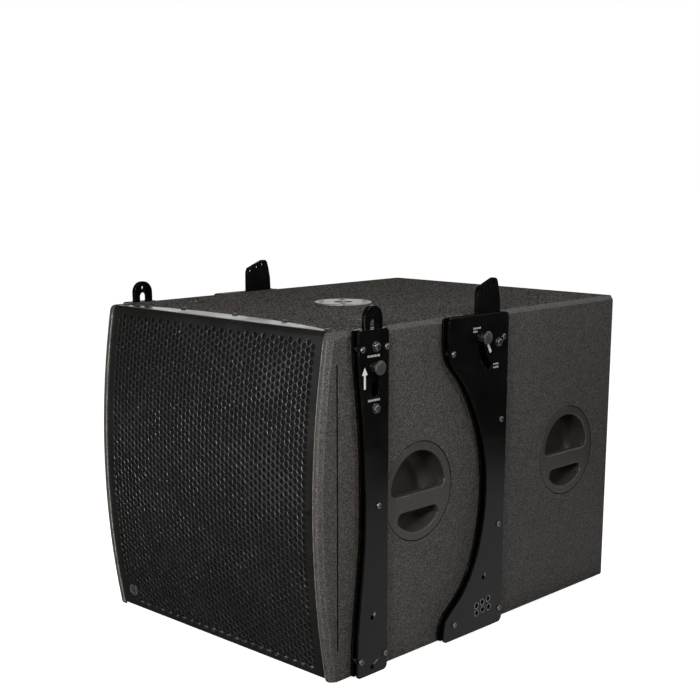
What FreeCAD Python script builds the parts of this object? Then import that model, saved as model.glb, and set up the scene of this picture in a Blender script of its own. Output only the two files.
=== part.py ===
import FreeCAD, Part
import os
import math

# ---------------------------------------------------------------------------
# Flyable line-array subwoofer cabinet with side rigging, millimetres.
# The solids are drawn in a working frame (X across, Y back from the front
# edge of the top face, Z up from the underside of the box) and moved to the
# row frame on export: origin at the centre of the footprint, on the floor.
# ---------------------------------------------------------------------------

V = FreeCAD.Vector

# --- cabinet -----------------------------------------------------------------
CAB_W = 580.0            # outside width of the wooden box
CAB_H = 580.0            # height of the wooden box
CAB_D = 800.0            # depth, front edge of the top face to the rear face
BULGE = 28.0             # how far the front bows out at mid-height
PLY = 15.0               # panel thickness
RABBET = 7.0             # depth of the corner rabbets
FRONT_R = 12.0           # rounding of the top and bottom front edges
CHEEK_LOW_R = 4.0        # rounding of the lower front corners of the sides
EDGE_R = 5.0             # rounding of the other outside edges
GROOVE_Y = 13.5          # stopped groove near the front corner
GROOVE_HW = 1.6
GROOVE_D = 4.0
CHAM_X = 6.0             # chamfer of the upright front corners, across
CHAM_Y = 8.5             # chamfer of the upright front corners, back
FOOT_H = 8.0             # rubber foot height
FOOT_R = 17.0
RECESS_R = 19.0          # stacking recess in the top face
RECESS_DEPTH = 2.5
FOOT_XY = [(210.0, 146.0), (-210.0, 146.0), (210.0, 648.0), (-210.0, 648.0)]

# --- grille --------------------------------------------------------------------
GRILLE_T = 1.5
GRILLE_SET = 3.0         # the grille sits this far behind the cheeks of the sides
GRILLE_HALF = 274.7
FLANGE_A = 280.0         # half-axes of the elliptic rear edge of the flange
FLANGE_B = 57.0
GRILLE_SCREWS = [(0.0, 57.0), (132.0, 50.3), (-132.0, 50.3), (262.0, 20.1), (-262.0, 20.1)]
FRONT_SCREW_X = 263.5
FRONT_SCREW_Z = 293.0

# --- baffle and driver -----------------------------------------------------------
BAF_Y = 50.0             # front face of the baffle
BAF_T = 18.0
DRV_Z = 321.0            # height of the driver axis
DRV_R = 231.0            # basket flange radius (18 inch class)
DRV_CUT_R = 212.0
DRV_PCD_R = 221.0

# --- rigging: distances out from the side panel ------------------------------------
PL_T = 4.0               # plate thickness
GAP = 9.0                # gap between the inner and outer plate
LK_T = 8.0               # link thickness
U_IN0, U_IN1 = 0.0, PL_T
U_OUT0, U_OUT1 = PL_T + GAP, 2 * PL_T + GAP
U_LK0 = PL_T + (GAP - LK_T) / 2.0
U_LK1 = U_LK0 + LK_T
SCREW_R = 3.0            # M6
SPACER_R = 4.0
GUIDE_R = 8.0            # shoulder of the front guide bolts
PIVOT_R = 5.0            # shoulder of the rear pivot bolt
RUN = 0.05               # radial running clearance
PIN_HOLE_R = 4.1         # holes for 8 mm quick-release pins

FRONT_LINK_Y = 84.1      # centre line of the front link
FRONT_LINK_HW = 20.8
FRONT_LINK_TOP = 617.2
FRONT_TRAVEL = 36.0
KNOB_SLOT = 39.0         # length of the knob slot between its end centres
FKNOB = (83.0, 519.0)
GUIDES = [(84.1, 551.9), (84.1, 452.2)]
PIVOT = (402.9, 527.6)
RKNOB = (358.0, 540.0)
REAR_SWING = 70.0
FRONT_SCREWS = [(53.5, 549.7), (109.8, 550.0), (92.2, 289.1), (109.8, 28.7), (50.9, 28.5)]
REAR_SCREWS = [(417.8, 536.0), (277.7, 518.5), (416.1, 386.6), (415.8, 190.8), (423.6, 27.3), (293.5, 27.8)]

# --- handles ----------------------------------------------------------------------
HANDLE_C = [(212.0, 288.0), (651.0, 288.0)]
H_FLANGE_R = 86.0
H_POCKET_R = 87.8        # rebate round the flange, leaving a shadow gap
H_CUP_R = 74.0
H_MOUTH_R = 71.0
H_DEPTH = 60.0
BAR_T = 15.0

PX = CAB_W / 2.0
SCREW_PROUD = 1.4        # front grille screw heads stand this far out of the bow
SHIFT = V(0, -(CAB_D - BULGE) / 2.0, FOOT_H)

os.makedirs("parts", exist_ok=True)


def bow(z):
    """Distance of the bowed front from the front chord plane at height z."""
    r = ((CAB_H / 2.0) ** 2 + BULGE ** 2) / (2.0 * BULGE)
    return (r - BULGE) - math.sqrt(r * r - (z - CAB_H / 2.0) ** 2)


def save(name, shape):
    s = shape.copy()
    s.translate(SHIFT)
    if not s.isValid():
        print("INVALID", name)
    s.exportStep("parts/" + name + ".step")
    print("%-26s solids %2d  volume %.0f" % (name, len(s.Solids), s.Volume))


def box(x0, x1, y0, y1, z0, z1):
    return Part.makeBox(x1 - x0, y1 - y0, z1 - z0, V(x0, y0, z0))


def cyl(r, p0, p1):
    d = V(*p1) - V(*p0)
    return Part.makeCylinder(r, d.Length, V(*p0), d)


def cylx(r, u0, u1, y, z):
    """Cylinder along +X; u is the distance out from the side panel."""
    return Part.makeCylinder(r, u1 - u0, V(PX + u0, y, z), V(1, 0, 0))


def mirror(s):
    return s.mirror(V(0, 0, 0), V(1, 0, 0))


def compound(items):
    return Part.makeCompound(items)


def yz_face(edges, x):
    f = Part.Face(Part.Wire(Part.__sortEdges__(edges)))
    f.translate(V(x, 0, 0))
    return f


def ln(a, b):
    return Part.LineSegment(V(0, a[0], a[1]), V(0, b[0], b[1])).toShape()


def arc3(a, m, b):
    return Part.Arc(V(0, a[0], a[1]), V(0, m[0], m[1]), V(0, b[0], b[1])).toShape()


def spline(pts):
    c = Part.BSplineCurve()
    c.interpolate([V(0, p[0], p[1]) for p in pts])
    return c.toShape()


def edges_where(shape, test):
    out = []
    for e in shape.Edges:
        bb = e.BoundBox
        if test(e, bb):
            out.append(e)
    return out


def fillet(shape, r, test, label=""):
    es = edges_where(shape, test)
    if not es:
        print("no edge for fillet", label)
        return shape
    try:
        s = shape.makeFillet(r, es)
        if s.isValid() and s.Volume > 0:
            return s
    except Exception as ex:
        print("fillet failed", label, ex)
    out = shape
    for k in range(len(es)):
        try:
            cand = edges_where(out, test)
            if k < len(cand):
                s = out.makeFillet(r, [cand[k]])
                if s.isValid():
                    out = s
        except Exception:
            pass
    return out


def front_profile(inset, z0, z1, y_back, x0, x1, round_r):
    """Solid between the bowed front (moved back by inset) and the plane y_back."""
    r = ((CAB_H / 2.0) ** 2 + BULGE ** 2) / (2.0 * BULGE)
    cy = r - BULGE
    ri = r - inset

    def y_at(z):
        return cy - math.sqrt(ri * ri - (z - CAB_H / 2.0) ** 2)

    zm = CAB_H / 2.0
    a, b = (y_at(z0), z0), (y_at(z1), z1)
    edges = [arc3(a, (y_at(zm), zm), b), ln(b, (y_back, z1)), ln((y_back, z1), (y_back, z0)), ln((y_back, z0), a)]
    f = yz_face(edges, x0)
    s = f.extrude(V(x1 - x0, 0, 0))
    if round_r > 0:
        s = fillet(s, round_r, lambda e, bb: bb.XLength > (x1 - x0) * 0.9 and bb.YMax < 6 + inset, "front rounding")
    return s


# ---------------------------------------------------------------------------
# Wooden box
# ---------------------------------------------------------------------------
def make_side():
    """Right side panel: bowed front edge, rabbets, handle holes, groove, screw holes."""
    s = front_profile(0.0, 0.0, CAB_H, CAB_D, PX - PLY, PX, 0.0)
    s = fillet(s, FRONT_R, lambda e, bb: bb.XLength > PLY * 0.9 and bb.YMax < 2 and bb.ZMin > 500, "cheek top")
    # chamfered upright front corner
    es = edges_where(s, lambda e, bb: abs(bb.XMin - PX) < 0.01 and abs(bb.XMax - PX) < 0.01 and bb.YMax < 13.0)
    done = False
    for order in ((CHAM_X, CHAM_Y), (CHAM_Y, CHAM_X)):
        try:
            t = s.makeChamfer(order[0], order[1], es)
            # the wide leg of the chamfer lies on the side face
            probe = V(PX - 0.6, bow(290.0) + 6.5, 290.0)
            if t.isValid() and not t.isInside(probe, 0.01, True):
                s = t
                done = True
                break
        except Exception:
            pass
    if not done:
        print("chamfer of side panel not made")
    s = fillet(s, CHEEK_LOW_R, lambda e, bb: bb.ZMax < 0.01 and bb.YMax < CHAM_Y + 3 and bb.XLength > 2 and bb.YLength < CHAM_Y + 2, "cheek bottom")
    # soften the two arrises that the chamfer leaves
    try:
        def on_cham(e, bb):
            return bb.ZLength > 300 and bb.YMax < 20 and bb.XMin > PX - CHAM_X - 0.5
        t = s.makeFillet(2.0, edges_where(s, on_cham))
        if t.isValid():
            s = t
    except Exception as ex:
        print("arris rounding skipped", ex)
    s = fillet(s, EDGE_R, lambda e, bb: abs(bb.XMin - PX) < 0.01 and abs(bb.XMax - PX) < 0.01 and bb.YMax > 500
               and (bb.YLength > 300 or bb.YMin > CAB_D - 0.1), "side edges")
    # rabbets for the top, bottom and rear panels
    s = s.cut(box(PX - PLY - 1, PX - PLY + RABBET, -60, CAB_D + 1, CAB_H - PLY, CAB_H + 1)
              .common(box(0, 400, 2.0 + GRILLE_SET, CAB_D + 1, -1, CAB_H + 1)))
    s = s.cut(box(PX - PLY - 1, PX - PLY + RABBET, 2.0 + GRILLE_SET, CAB_D + 1, -1, PLY))
    s = s.cut(box(PX - PLY - 1, PX - PLY + RABBET, CAB_D - PLY, CAB_D + 1, PLY, CAB_H - PLY))
    # handle holes with a rebate for the flange
    for (hy, hz) in HANDLE_C:
        s = s.cut(cylx(H_CUP_R + 0.5, -PLY - 1, 1, hy, hz))
        s = s.cut(cylx(H_POCKET_R, -4.0, 1, hy, hz))
    # stopped groove near the front corner
    g = box(PX - GROOVE_D, PX + 1, GROOVE_Y - GROOVE_HW, GROOVE_Y + GROOVE_HW, 54.25, 527.75)
    g = g.fuse(cylx(GROOVE_HW, -GROOVE_D, 1.0, GROOVE_Y, 54.25)).fuse(cylx(GROOVE_HW, -GROOVE_D, 1.0, GROOVE_Y, 527.75))
    s = s.cut(g)
    # blind holes for the rigging screws
    for (y, z) in FRONT_SCREWS + REAR_SCREWS + GUIDES + [PIVOT]:
        s = s.cut(cylx(SCREW_R, -12.0, 1.0, y, z))
    return s


side_r = make_side()
side_l = mirror(side_r)


def flange_plan(x_half, a, b, z0, z1, y_front):
    """Plan outline of the grille flange: straight ends and an elliptic rear edge."""
    n = 24
    pts = []
    for i in range(n + 1):
        x = -x_half + 2.0 * x_half * i / n
        pts.append(V(x, b * math.sqrt(max(0.0, 1.0 - (x / a) ** 2)), z0))
    c = Part.BSplineCurve()
    c.interpolate(pts)
    e0 = c.toShape()
    p0, p1 = pts[0], pts[-1]
    q0, q1 = V(p0.x, y_front, z0), V(p1.x, y_front, z0)
    edges = [e0, Part.LineSegment(p1, q1).toShape(), Part.LineSegment(q1, q0).toShape(), Part.LineSegment(q0, p0).toShape()]
    f = Part.Face(Part.Wire(Part.__sortEdges__(edges)))
    return f.extrude(V(0, 0, z1 - z0))


# space behind the grille that the panel fronts must stay inside
front_keep = front_profile(GRILLE_SET + GRILLE_T + 0.1, GRILLE_T + 0.1, CAB_H - GRILLE_T - 0.1, 30.0, -PX, PX, FRONT_R - GRILLE_T - 0.1)
front_zone = box(-PX + PLY, PX - PLY, -40, 13.0, -1, CAB_H + 1).cut(front_keep)

PANEL_Y0 = 2.0 + GRILLE_SET
top = box(-PX + PLY - RABBET, PX - PLY + RABBET, PANEL_Y0, CAB_D, CAB_H - PLY, CAB_H)
# the front corners of the panel step in behind the cheeks of the sides
top = fillet(top, FRONT_R - GRILLE_T, lambda e, bb: bb.XLength > 300 and bb.YMax < PANEL_Y0 + 1 and bb.ZMin > CAB_H - 1, "top front")
top = fillet(top, EDGE_R, lambda e, bb: bb.XLength > 300 and bb.YMin > CAB_D - 1 and bb.ZMin > CAB_H - 1, "top rear")
top = top.cut(flange_plan(GRILLE_HALF + 0.1, FLANGE_A, FLANGE_B + 0.2, CAB_H - GRILLE_T, CAB_H + 1, -20.0))
top = top.cut(front_zone)
for (x, y) in FOOT_XY:
    top = top.cut(Part.makeCylinder(RECESS_R, RECESS_DEPTH + 1, V(x, y, CAB_H - RECESS_DEPTH)))
for (x, y) in GRILLE_SCREWS:
    top = top.cut(Part.makeCylinder(2.2, 13, V(x, y, CAB_H - 12)))
POLE_XY = (0.0, 325.0)
POLE_FL_R = 53.5
POLE_T = 4.0
POLE_SINK = 2.0
POLE_R = 17.6
POLE_OUT_R = 21.5
POLE_SCREW_R = 40.0
top = top.cut(Part.makeCylinder(POLE_FL_R + 0.2, 10, V(POLE_XY[0], POLE_XY[1], CAB_H - POLE_SINK)))
top = top.cut(Part.makeCylinder(POLE_OUT_R + 0.3, 40, V(POLE_XY[0], POLE_XY[1], CAB_H - 30)))
POLE_SCREWS = [(POLE_XY[0] + POLE_SCREW_R * math.cos(math.radians(a)), POLE_XY[1] + POLE_SCREW_R * math.sin(math.radians(a)))
               for a in (45, 135, 225, 315)]
for (x, y) in POLE_SCREWS:
    top = top.cut(Part.makeCylinder(2.4, 20, V(x, y, CAB_H - POLE_SINK - 11)))

bottom = box(-PX + PLY - RABBET, PX - PLY + RABBET, PANEL_Y0, CAB_D, 0, PLY)
bottom = fillet(bottom, FRONT_R - GRILLE_T, lambda e, bb: bb.XLength > 300 and bb.YMax < PANEL_Y0 + 1 and bb.ZMax < 1, "bottom front")
bottom = fillet(bottom, EDGE_R, lambda e, bb: bb.XLength > 300 and bb.YMin > CAB_D - 1 and bb.ZMax < 1, "bottom rear")
fl = flange_plan(GRILLE_HALF + 0.1, FLANGE_A, FLANGE_B + 0.2, -1.0, GRILLE_T, -20.0)
bottom = bottom.cut(fl).cut(front_zone)
for (x, y) in GRILLE_SCREWS:
    bottom = bottom.cut(Part.makeCylinder(2.2, 13, V(x, y, -1)))
for (x, y) in FOOT_XY:
    bottom = bottom.cut(Part.makeCylinder(2.4, 12, V(x, y, -1)))

CON_W, CON_H = 150.0, 110.0        # connector tray flange
TRAY_W, TRAY_H = 120.0, 80.0
TRAY_D = 28.0
CON_Z = 290.0
rear = box(-PX + PLY - RABBET, PX - PLY + RABBET, CAB_D - PLY, CAB_D, PLY, CAB_H - PLY)
rear = rear.cut(box(-CON_W / 2 - 0.2, CON_W / 2 + 0.2, CAB_D - 2.0, CAB_D + 1, CON_Z - CON_H / 2 - 0.2, CON_Z + CON_H / 2 + 0.2))
rear = rear.cut(box(-TRAY_W / 2 - 0.4, TRAY_W / 2 + 0.4, CAB_D - PLY - 1, CAB_D + 1, CON_Z - TRAY_H / 2 - 0.4, CON_Z + TRAY_H / 2 + 0.4))
CON_SCREWS = [(sx * 67.5, CON_Z + sz * 47.5) for sx in (-1, 1) for sz in (-1, 1)]
for (x, z) in CON_SCREWS:
    rear = rear.cut(cyl(2.4, (x, CAB_D - 13.0, z), (x, CAB_D + 1, z)))

IN = PX - PLY                       # inside half-width
baffle = box(-IN, IN, BAF_Y, BAF_Y + BAF_T, PLY, CAB_H - PLY)
baffle = baffle.cut(cyl(DRV_CUT_R, (0, BAF_Y - 1, DRV_Z), (0, BAF_Y + BAF_T + 1, DRV_Z)))
PORT_H = 52.0
baffle = baffle.cut(box(-IN + 20, IN - 20, BAF_Y - 1, BAF_Y + BAF_T + 1, PLY + 2, PLY + 2 + PORT_H))
DRV_BOLTS = [(DRV_PCD_R * math.cos(math.radians(22.5 + 45 * k)), DRV_Z + DRV_PCD_R * math.sin(math.radians(22.5 + 45 * k))) for k in range(8)]
for (x, z) in DRV_BOLTS:
    baffle = baffle.cut(cyl(2.9, (x, BAF_Y - 1, z), (x, BAF_Y + 16, z)))

port_shelf = box(-IN, IN, BAF_Y + BAF_T, 400.0, PLY + 2 + PORT_H, PLY + 2 + PORT_H + PLY)

brace = box(-IN, IN, 430.0, 445.0, PLY, CAB_H - PLY)
for sx in (-1, 1):
    for sz in (-1, 1):
        cx, cz = sx * 132.0, CAB_H / 2 + sz * 135.0
        w = box(cx - 105, cx + 105, 429, 446, cz - 105, cz + 105)
        w = fillet(w, 25.0, lambda e, bb: bb.YLength > 10 and bb.XLength < 1 and bb.ZLength < 1, "brace window")
        brace = brace.cut(w)

# upright cleats behind the grille, glued to the sides and the baffle
cleat = front_profile(GRILLE_SET + GRILLE_T + 0.1, PLY, CAB_H - PLY, BAF_Y, IN - 15.5, IN, 0.0)
cleat = cleat.cut(cyl(2.2, (FRONT_SCREW_X, -40, FRONT_SCREW_Z), (FRONT_SCREW_X, -10, FRONT_SCREW_Z)))
cleats = compound([cleat, mirror(cleat)])

# ---------------------------------------------------------------------------
# Grille with its wrapped top and bottom flanges, foam and badge
# ---------------------------------------------------------------------------
outer = front_profile(GRILLE_SET, 0.0, CAB_H, 60.0, -GRILLE_HALF, GRILLE_HALF, FRONT_R)
inner = front_profile(GRILLE_SET + GRILLE_T, GRILLE_T, CAB_H - GRILLE_T, 61.0, -GRILLE_HALF - 1, GRILLE_HALF + 1, FRONT_R - GRILLE_T)
grille = outer.cut(inner)
plan = flange_plan(GRILLE_HALF, FLANGE_A, FLANGE_B, -2.0, CAB_H + 2, -60.0)
grille = grille.common(plan)
for (x, y) in GRILLE_SCREWS:
    grille = grille.cut(Part.makeCylinder(2.6, 6, V(x, y, CAB_H - 4)))
    grille = grille.cut(Part.makeCylinder(2.6, 6, V(x, y, -2)))
for sx in (-1, 1):
    grille = grille.cut(cyl(2.3, (sx * FRONT_SCREW_X, -40, FRONT_SCREW_Z), (sx * FRONT_SCREW_X, -15, FRONT_SCREW_Z)))

FOAM_T = 8.0
f_out = front_profile(GRILLE_SET + GRILLE_T + 0.3, 17.0, CAB_H - 17.0, 30.0, -255.5, 255.5, 0.0)
f_in = front_profile(GRILLE_SET + GRILLE_T + 0.3 + FOAM_T, 16.0, CAB_H - 16.0, 31.0, -256.5, 256.5, 0.0)
foam = f_out.cut(f_in)

BADGE_R, BADGE_T = 12.0, 1.6
bx, bz = -239.7, 37.0
slope = math.asin((CAB_H / 2 - bz) / (((CAB_H / 2.0) ** 2 + BULGE ** 2) / (2.0 * BULGE)))
nrm = V(0, -math.cos(slope), -math.sin(slope))
bp = V(bx, bow(bz), bz) - nrm * (GRILLE_SET - 0.05)
badge = Part.makeCylinder(BADGE_R, BADGE_T, bp, nrm)
badge = fillet(badge, 0.6, lambda e, bb: (bb.Center - (bp + nrm * BADGE_T)).Length < 0.2 and e.Length > 60, "badge")


def screw_top(x, y, z, head_r=5.0, head_h=2.6, shank_r=2.2, length=12.0, up=1):
    """Pan-head screw standing on the plane z, head on the +up side."""
    s = Part.makeCylinder(head_r, head_h, V(x, y, z), V(0, 0, up))
    s = fillet(s, head_h * 0.6, lambda e, bb: abs(bb.Center.z - (z + up * head_h)) < 0.05 and e.Length > 20, "head")
    s = s.fuse(Part.makeCylinder(shank_r, length, V(x, y, z), V(0, 0, -up)))
    for a in (0, 90):
        c = Part.makeBox(5.0, 1.0, 1.4, V(-2.5, -0.5, 0))
        c.rotate(V(0, 0, 0), V(0, 0, 1), a + 20)
        c.translate(V(x, y, z + head_h - 1.3 if up > 0 else z - head_h - 0.1))
        s = s.cut(c)
    return s


gs = []
for (x, y) in GRILLE_SCREWS:
    gs.append(screw_top(x, y, CAB_H, length=11.0))
    gs.append(screw_top(x, y, 0.0, length=11.0, up=-1))
for sx in (-1, 1):
    x = sx * FRONT_SCREW_X
    y = bow(FRONT_SCREW_Z) + GRILLE_SET
    s = cyl(4.6, (x, y - SCREW_PROUD, FRONT_SCREW_Z), (x, y, FRONT_SCREW_Z))
    s = s.fuse(cyl(2.2, (x, y, FRONT_SCREW_Z), (x, y + 14, FRONT_SCREW_Z)))
    s = s.cut(box(x - 2.4, x + 2.4, y - 2, y - 0.6, FRONT_SCREW_Z - 0.5, FRONT_SCREW_Z + 0.5))
    s = s.cut(box(x - 0.5, x + 0.5, y - 2, y - 0.6, FRONT_SCREW_Z - 2.4, FRONT_SCREW_Z + 2.4))
    gs.append(s)
grille_screws = compound(gs)

# ---------------------------------------------------------------------------
# Pole socket, feet, small screws, rear connectors
# ---------------------------------------------------------------------------
px, py = POLE_XY
pz = CAB_H - POLE_SINK
pole = Part.makeCylinder(POLE_FL_R, POLE_T, V(px, py, pz))
pole = fillet(pole, 1.2, lambda e, bb: bb.ZMin > pz + POLE_T - 0.1 and e.Length > 300, "pole rim")
pole = pole.fuse(Part.makeCylinder(POLE_OUT_R, 80.0, V(px, py, pz - 78.0)))
pole = pole.cut(Part.makeCylinder(POLE_R, 78.0, V(px, py, pz + POLE_T - 76.0)))
for (x, y) in POLE_SCREWS:
    pole = pole.cut(Part.makeCylinder(2.6, 10, V(x, y, pz - 2)))
pole = pole.removeSplitter()

ps = [screw_top(x, y, pz + POLE_T, head_r=4.6, head_h=2.4, shank_r=2.4, length=14.0) for (x, y) in POLE_SCREWS]
feet = []
for (x, y) in FOOT_XY:
    f = Part.makeCone(FOOT_R - 1.0, FOOT_R, FOOT_H, V(x, y, -FOOT_H))
    f = f.cut(Part.makeCylinder(6.0, 4.5, V(x, y, -FOOT_H - 0.5)))
    f = f.cut(Part.makeCylinder(2.6, 20, V(x, y, -FOOT_H)))
    feet.append(f)
    ps.append(screw_top(x, y, -4.0, head_r=4.6, head_h=2.4, shank_r=2.4, length=14.0, up=-1))
for (x, z) in CON_SCREWS:
    h = cyl(4.0, (x, CAB_D - 2.4, z), (x, CAB_D - 0.2, z))
    h = h.cut(box(x - 2.2, x + 2.2, CAB_D - 1.4, CAB_D, z - 0.5, z + 0.5)).cut(box(x - 0.5, x + 0.5, CAB_D - 1.4, CAB_D, z - 2.2, z + 2.2))
    s = cyl(2.4, (x, CAB_D - 12.5, z), (x, CAB_D - 2.4, z)).fuse(h)
    ps.append(s)
panel_screws = compound(ps)
rubber_feet = compound(feet)

# recessed steel tray with two round locking sockets
tray = box(-CON_W / 2, CON_W / 2, CAB_D - 2.0, CAB_D - 0.2, CON_Z - CON_H / 2, CON_Z + CON_H / 2)
tray = tray.fuse(box(-TRAY_W / 2, TRAY_W / 2, CAB_D - TRAY_D, CAB_D - 0.2, CON_Z - TRAY_H / 2, CON_Z + TRAY_H / 2))
tray = tray.cut(box(-TRAY_W / 2 + 2, TRAY_W / 2 - 2, CAB_D - TRAY_D + 2, CAB_D + 1, CON_Z - TRAY_H / 2 + 2, CON_Z + TRAY_H / 2 - 2))
SOCK_X = 28.0
SOCK_BODY_R = 11.8
SOCK_R = 9.5
for sx in (-1, 1):
    tray = tray.cut(cyl(SOCK_BODY_R + 0.2, (sx * SOCK_X, CAB_D - TRAY_D - 1, CON_Z), (sx * SOCK_X, CAB_D, CON_Z)))
for (x, z) in CON_SCREWS:
    tray = tray.cut(cyl(2.4, (x, CAB_D - 3.0, z), (x, CAB_D + 1, z)))
    tray = tray.cut(cyl(4.0, (x, CAB_D - 2.4, z), (x, CAB_D + 1, z)))
for (x, z) in CON_SCREWS:
    rear = rear.cut(cyl(4.0, (x, CAB_D - 2.4, z), (x, CAB_D + 1, z)))
tray = tray.removeSplitter()
yf = CAB_D - TRAY_D + 2.0          # tray floor
socks = []
for sx in (-1, 1):
    x = sx * SOCK_X
    s = box(x - 13, x + 13, yf, yf + 3.0, CON_Z - 15.5, CON_Z + 15.5)
    s = fillet(s, 3.0, lambda e, bb: bb.YLength > 2 and bb.XLength < 0.5 and bb.ZLength < 0.5, "socket flange")
    s = s.fuse(cyl(SOCK_BODY_R, (x, yf - 26.0, CON_Z), (x, yf + 8.0, CON_Z)))
    s = s.cut(cyl(SOCK_R, (x, yf - 14.0, CON_Z), (x, yf + 9.0, CON_Z)))
    socks.append(s.removeSplitter())
sockets = compound(socks)

# ---------------------------------------------------------------------------
# Moulded recessed handles
# ---------------------------------------------------------------------------
def make_handle(hy, hz):
    """Round flush handle: flange, bowl behind, grip bar across the mouth."""
    x_face = PX
    # revolved cup, built about the X axis through the handle centre
    d = H_DEPTH
    prof = []
    ro, ri, t = H_CUP_R, H_MOUTH_R, 3.0
    rb = 26.0

    def P(u, r):
        return V(x_face - u, r, 0)
    # outer wall, then the inner wall back to the mouth
    e = []
    er = 1.0
    e.append(Part.Arc(P(0, H_FLANGE_R - er), P(er * (1 - math.sqrt(0.5)), H_FLANGE_R - er * (1 - math.sqrt(0.5))), P(er, H_FLANGE_R)).toShape())
    e.append(Part.LineSegment(P(er, H_FLANGE_R), P(3.9, H_FLANGE_R)).toShape())
    e.append(Part.LineSegment(P(3.9, H_FLANGE_R), P(3.9, ro)).toShape())
    e.append(Part.LineSegment(P(3.9, ro), P(d - rb, ro)).toShape())
    c45 = math.sqrt(0.5)
    e.append(Part.Arc(P(d - rb, ro), P(d - rb + rb * c45, ro - rb + rb * c45), P(d, ro - rb)).toShape())
    e.append(Part.LineSegment(P(d, ro - rb), P(d, 0)).toShape())
    e.append(Part.LineSegment(P(d, 0), P(d - t, 0)).toShape())
    rr = rb - t
    e.append(Part.LineSegment(P(d - t, 0), P(d - t, ri - rr)).toShape())
    e.append(Part.Arc(P(d - t, ri - rr), P(d - t - rr + rr * c45, ri - rr + rr * c45), P(d - t - rr, ri)).toShape())
    e.append(Part.LineSegment(P(d - t - rr, ri), P(0, ri)).toShape())
    e.append(Part.LineSegment(P(0, ri), P(0, H_FLANGE_R - er)).toShape())
    f = Part.Face(Part.Wire(Part.__sortEdges__(e)))
    cup = f.revolve(V(x_face, 0, 0), V(1, 0, 0), 360)
    cup.translate(V(0, hy, hz))
    # mouth web with the two hand openings
    web = cylx(H_MOUTH_R + 1.0, -BAR_T, 0.0, hy, hz)
    up = cylx(H_MOUTH_R, -BAR_T - 1, 1.0, hy, hz).common(box(PX - 60, PX + 10, hy - 90, hy + 90, hz - 2.0, hz + 90))
    up = fillet(up, 14.0, lambda e, bb: bb.XLength > BAR_T and bb.YLength < 0.5 and bb.ZLength < 0.5 and bb.ZMin < hz, "upper opening")
    lo = cylx(H_MOUTH_R, -BAR_T - 1, 1.0, hy, hz).common(box(PX - 60, PX + 10, hy - 52.0, hy + 52.0, hz - 90, hz - 32.3))
    lo = fillet(lo, 11.0, lambda e, bb: bb.XLength > BAR_T and bb.YLength < 0.5 and bb.ZLength < 0.5, "lower opening")
    web = web.cut(up).cut(lo)
    h = cup.fuse(web).removeSplitter()
    # round the mouth edges, outside, then the two long edges inside
    h = fillet(h, 3.0, lambda e, bb: abs(bb.XMin - PX) < 0.01 and abs(bb.XMax - PX) < 0.01
               and max(abs(bb.YMax - hy), abs(bb.YMin - hy), abs(bb.ZMax - hz), abs(bb.ZMin - hz)) < H_MOUTH_R + 1.0, "mouth edges")
    h = fillet(h, 4.0, lambda e, bb: abs(bb.XMin - PX + BAR_T) < 0.01 and abs(bb.XMax - PX + BAR_T) < 0.01 and bb.ZLength < 0.1 and bb.YLength > 40, "grip edges")
    return h


handles_r = [make_handle(*c) for c in HANDLE_C]
handles_right = compound(handles_r)
handles_left = compound([mirror(h) for h in handles_r])

# ---------------------------------------------------------------------------
# Rigging plates
# ---------------------------------------------------------------------------
FP_FRONT = [(45.0, 580), (47.3, 519), (53.2, 470), (60.6, 387), (62.8, 303), (60.9, 219), (52.2, 135), (44.9, 60), (43.7, 0)]
FP_BACK = 115.0
RP_FRONT = [(266.0, 580), (266.4, 548), (267.6, 525), (272.7, 507), (284.6, 490), (303.0, 472), (330.0, 434), (359.0, 376), (374.8, 318),
            (378.0, 242), (365.6, 170), (346.6, 120), (329.5, 94), (309.0, 72), (281.0, 50), (270.5, 38), (265.8, 22), (264.4, 0)]
RP_BACK = 432.0


def plate(front_pts, back, u0, u1, r_back, r_front):
    a, b = front_pts[0], front_pts[-1]
    edges = [spline(front_pts), ln(b, (back, b[1])), ln((back, b[1]), (back, a[1])), ln((back, a[1]), a)]
    s = yz_face(edges, PX + u0).extrude(V(u1 - u0, 0, 0))
    s = fillet(s, r_back, lambda e, bb: bb.XLength > 3 and bb.YLength < 0.1 and bb.ZLength < 0.1 and bb.YMin > back - 1, "plate rear corner")
    s = fillet(s, r_front, lambda e, bb: bb.XLength > 3 and bb.YLength < 0.1 and bb.ZLength < 0.1 and bb.YMin < back - 20, "plate front corner")
    return s


def slot_z(u0, u1, y, z0, z1, hw):
    s = box(PX + u0, PX + u1, y - hw, y + hw, z0, z1)
    return s.fuse(cylx(hw, u0, u1, y, z0)).fuse(cylx(hw, u0, u1, y, z1)).removeSplitter()


PIN_TIP_R = 3.0
SLEEVE_R = 7.0
SLOT_HW = 9.0
FRONT_PIN_HOLES = [(77.5, 99.8), (78.0, 12.4)]
REAR_PIN_HOLES = [(374.7, 98.0), (357.3, 48.1), (373.5, 51.0), (391.5, 53.4), (357.9, 33.6), (375.3, 36.5), (393.2, 37.1)]

fi = plate(FP_FRONT, FP_BACK, U_IN0, U_IN1, 9.0, 5.0)
fo = plate(FP_FRONT, FP_BACK, U_OUT0, U_OUT1, 9.0, 5.0)
ri_ = plate(RP_FRONT, RP_BACK, U_IN0, U_IN1, 10.0, 8.0)
ro_ = plate(RP_FRONT, RP_BACK, U_OUT0, U_OUT1, 10.0, 8.0)

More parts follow.
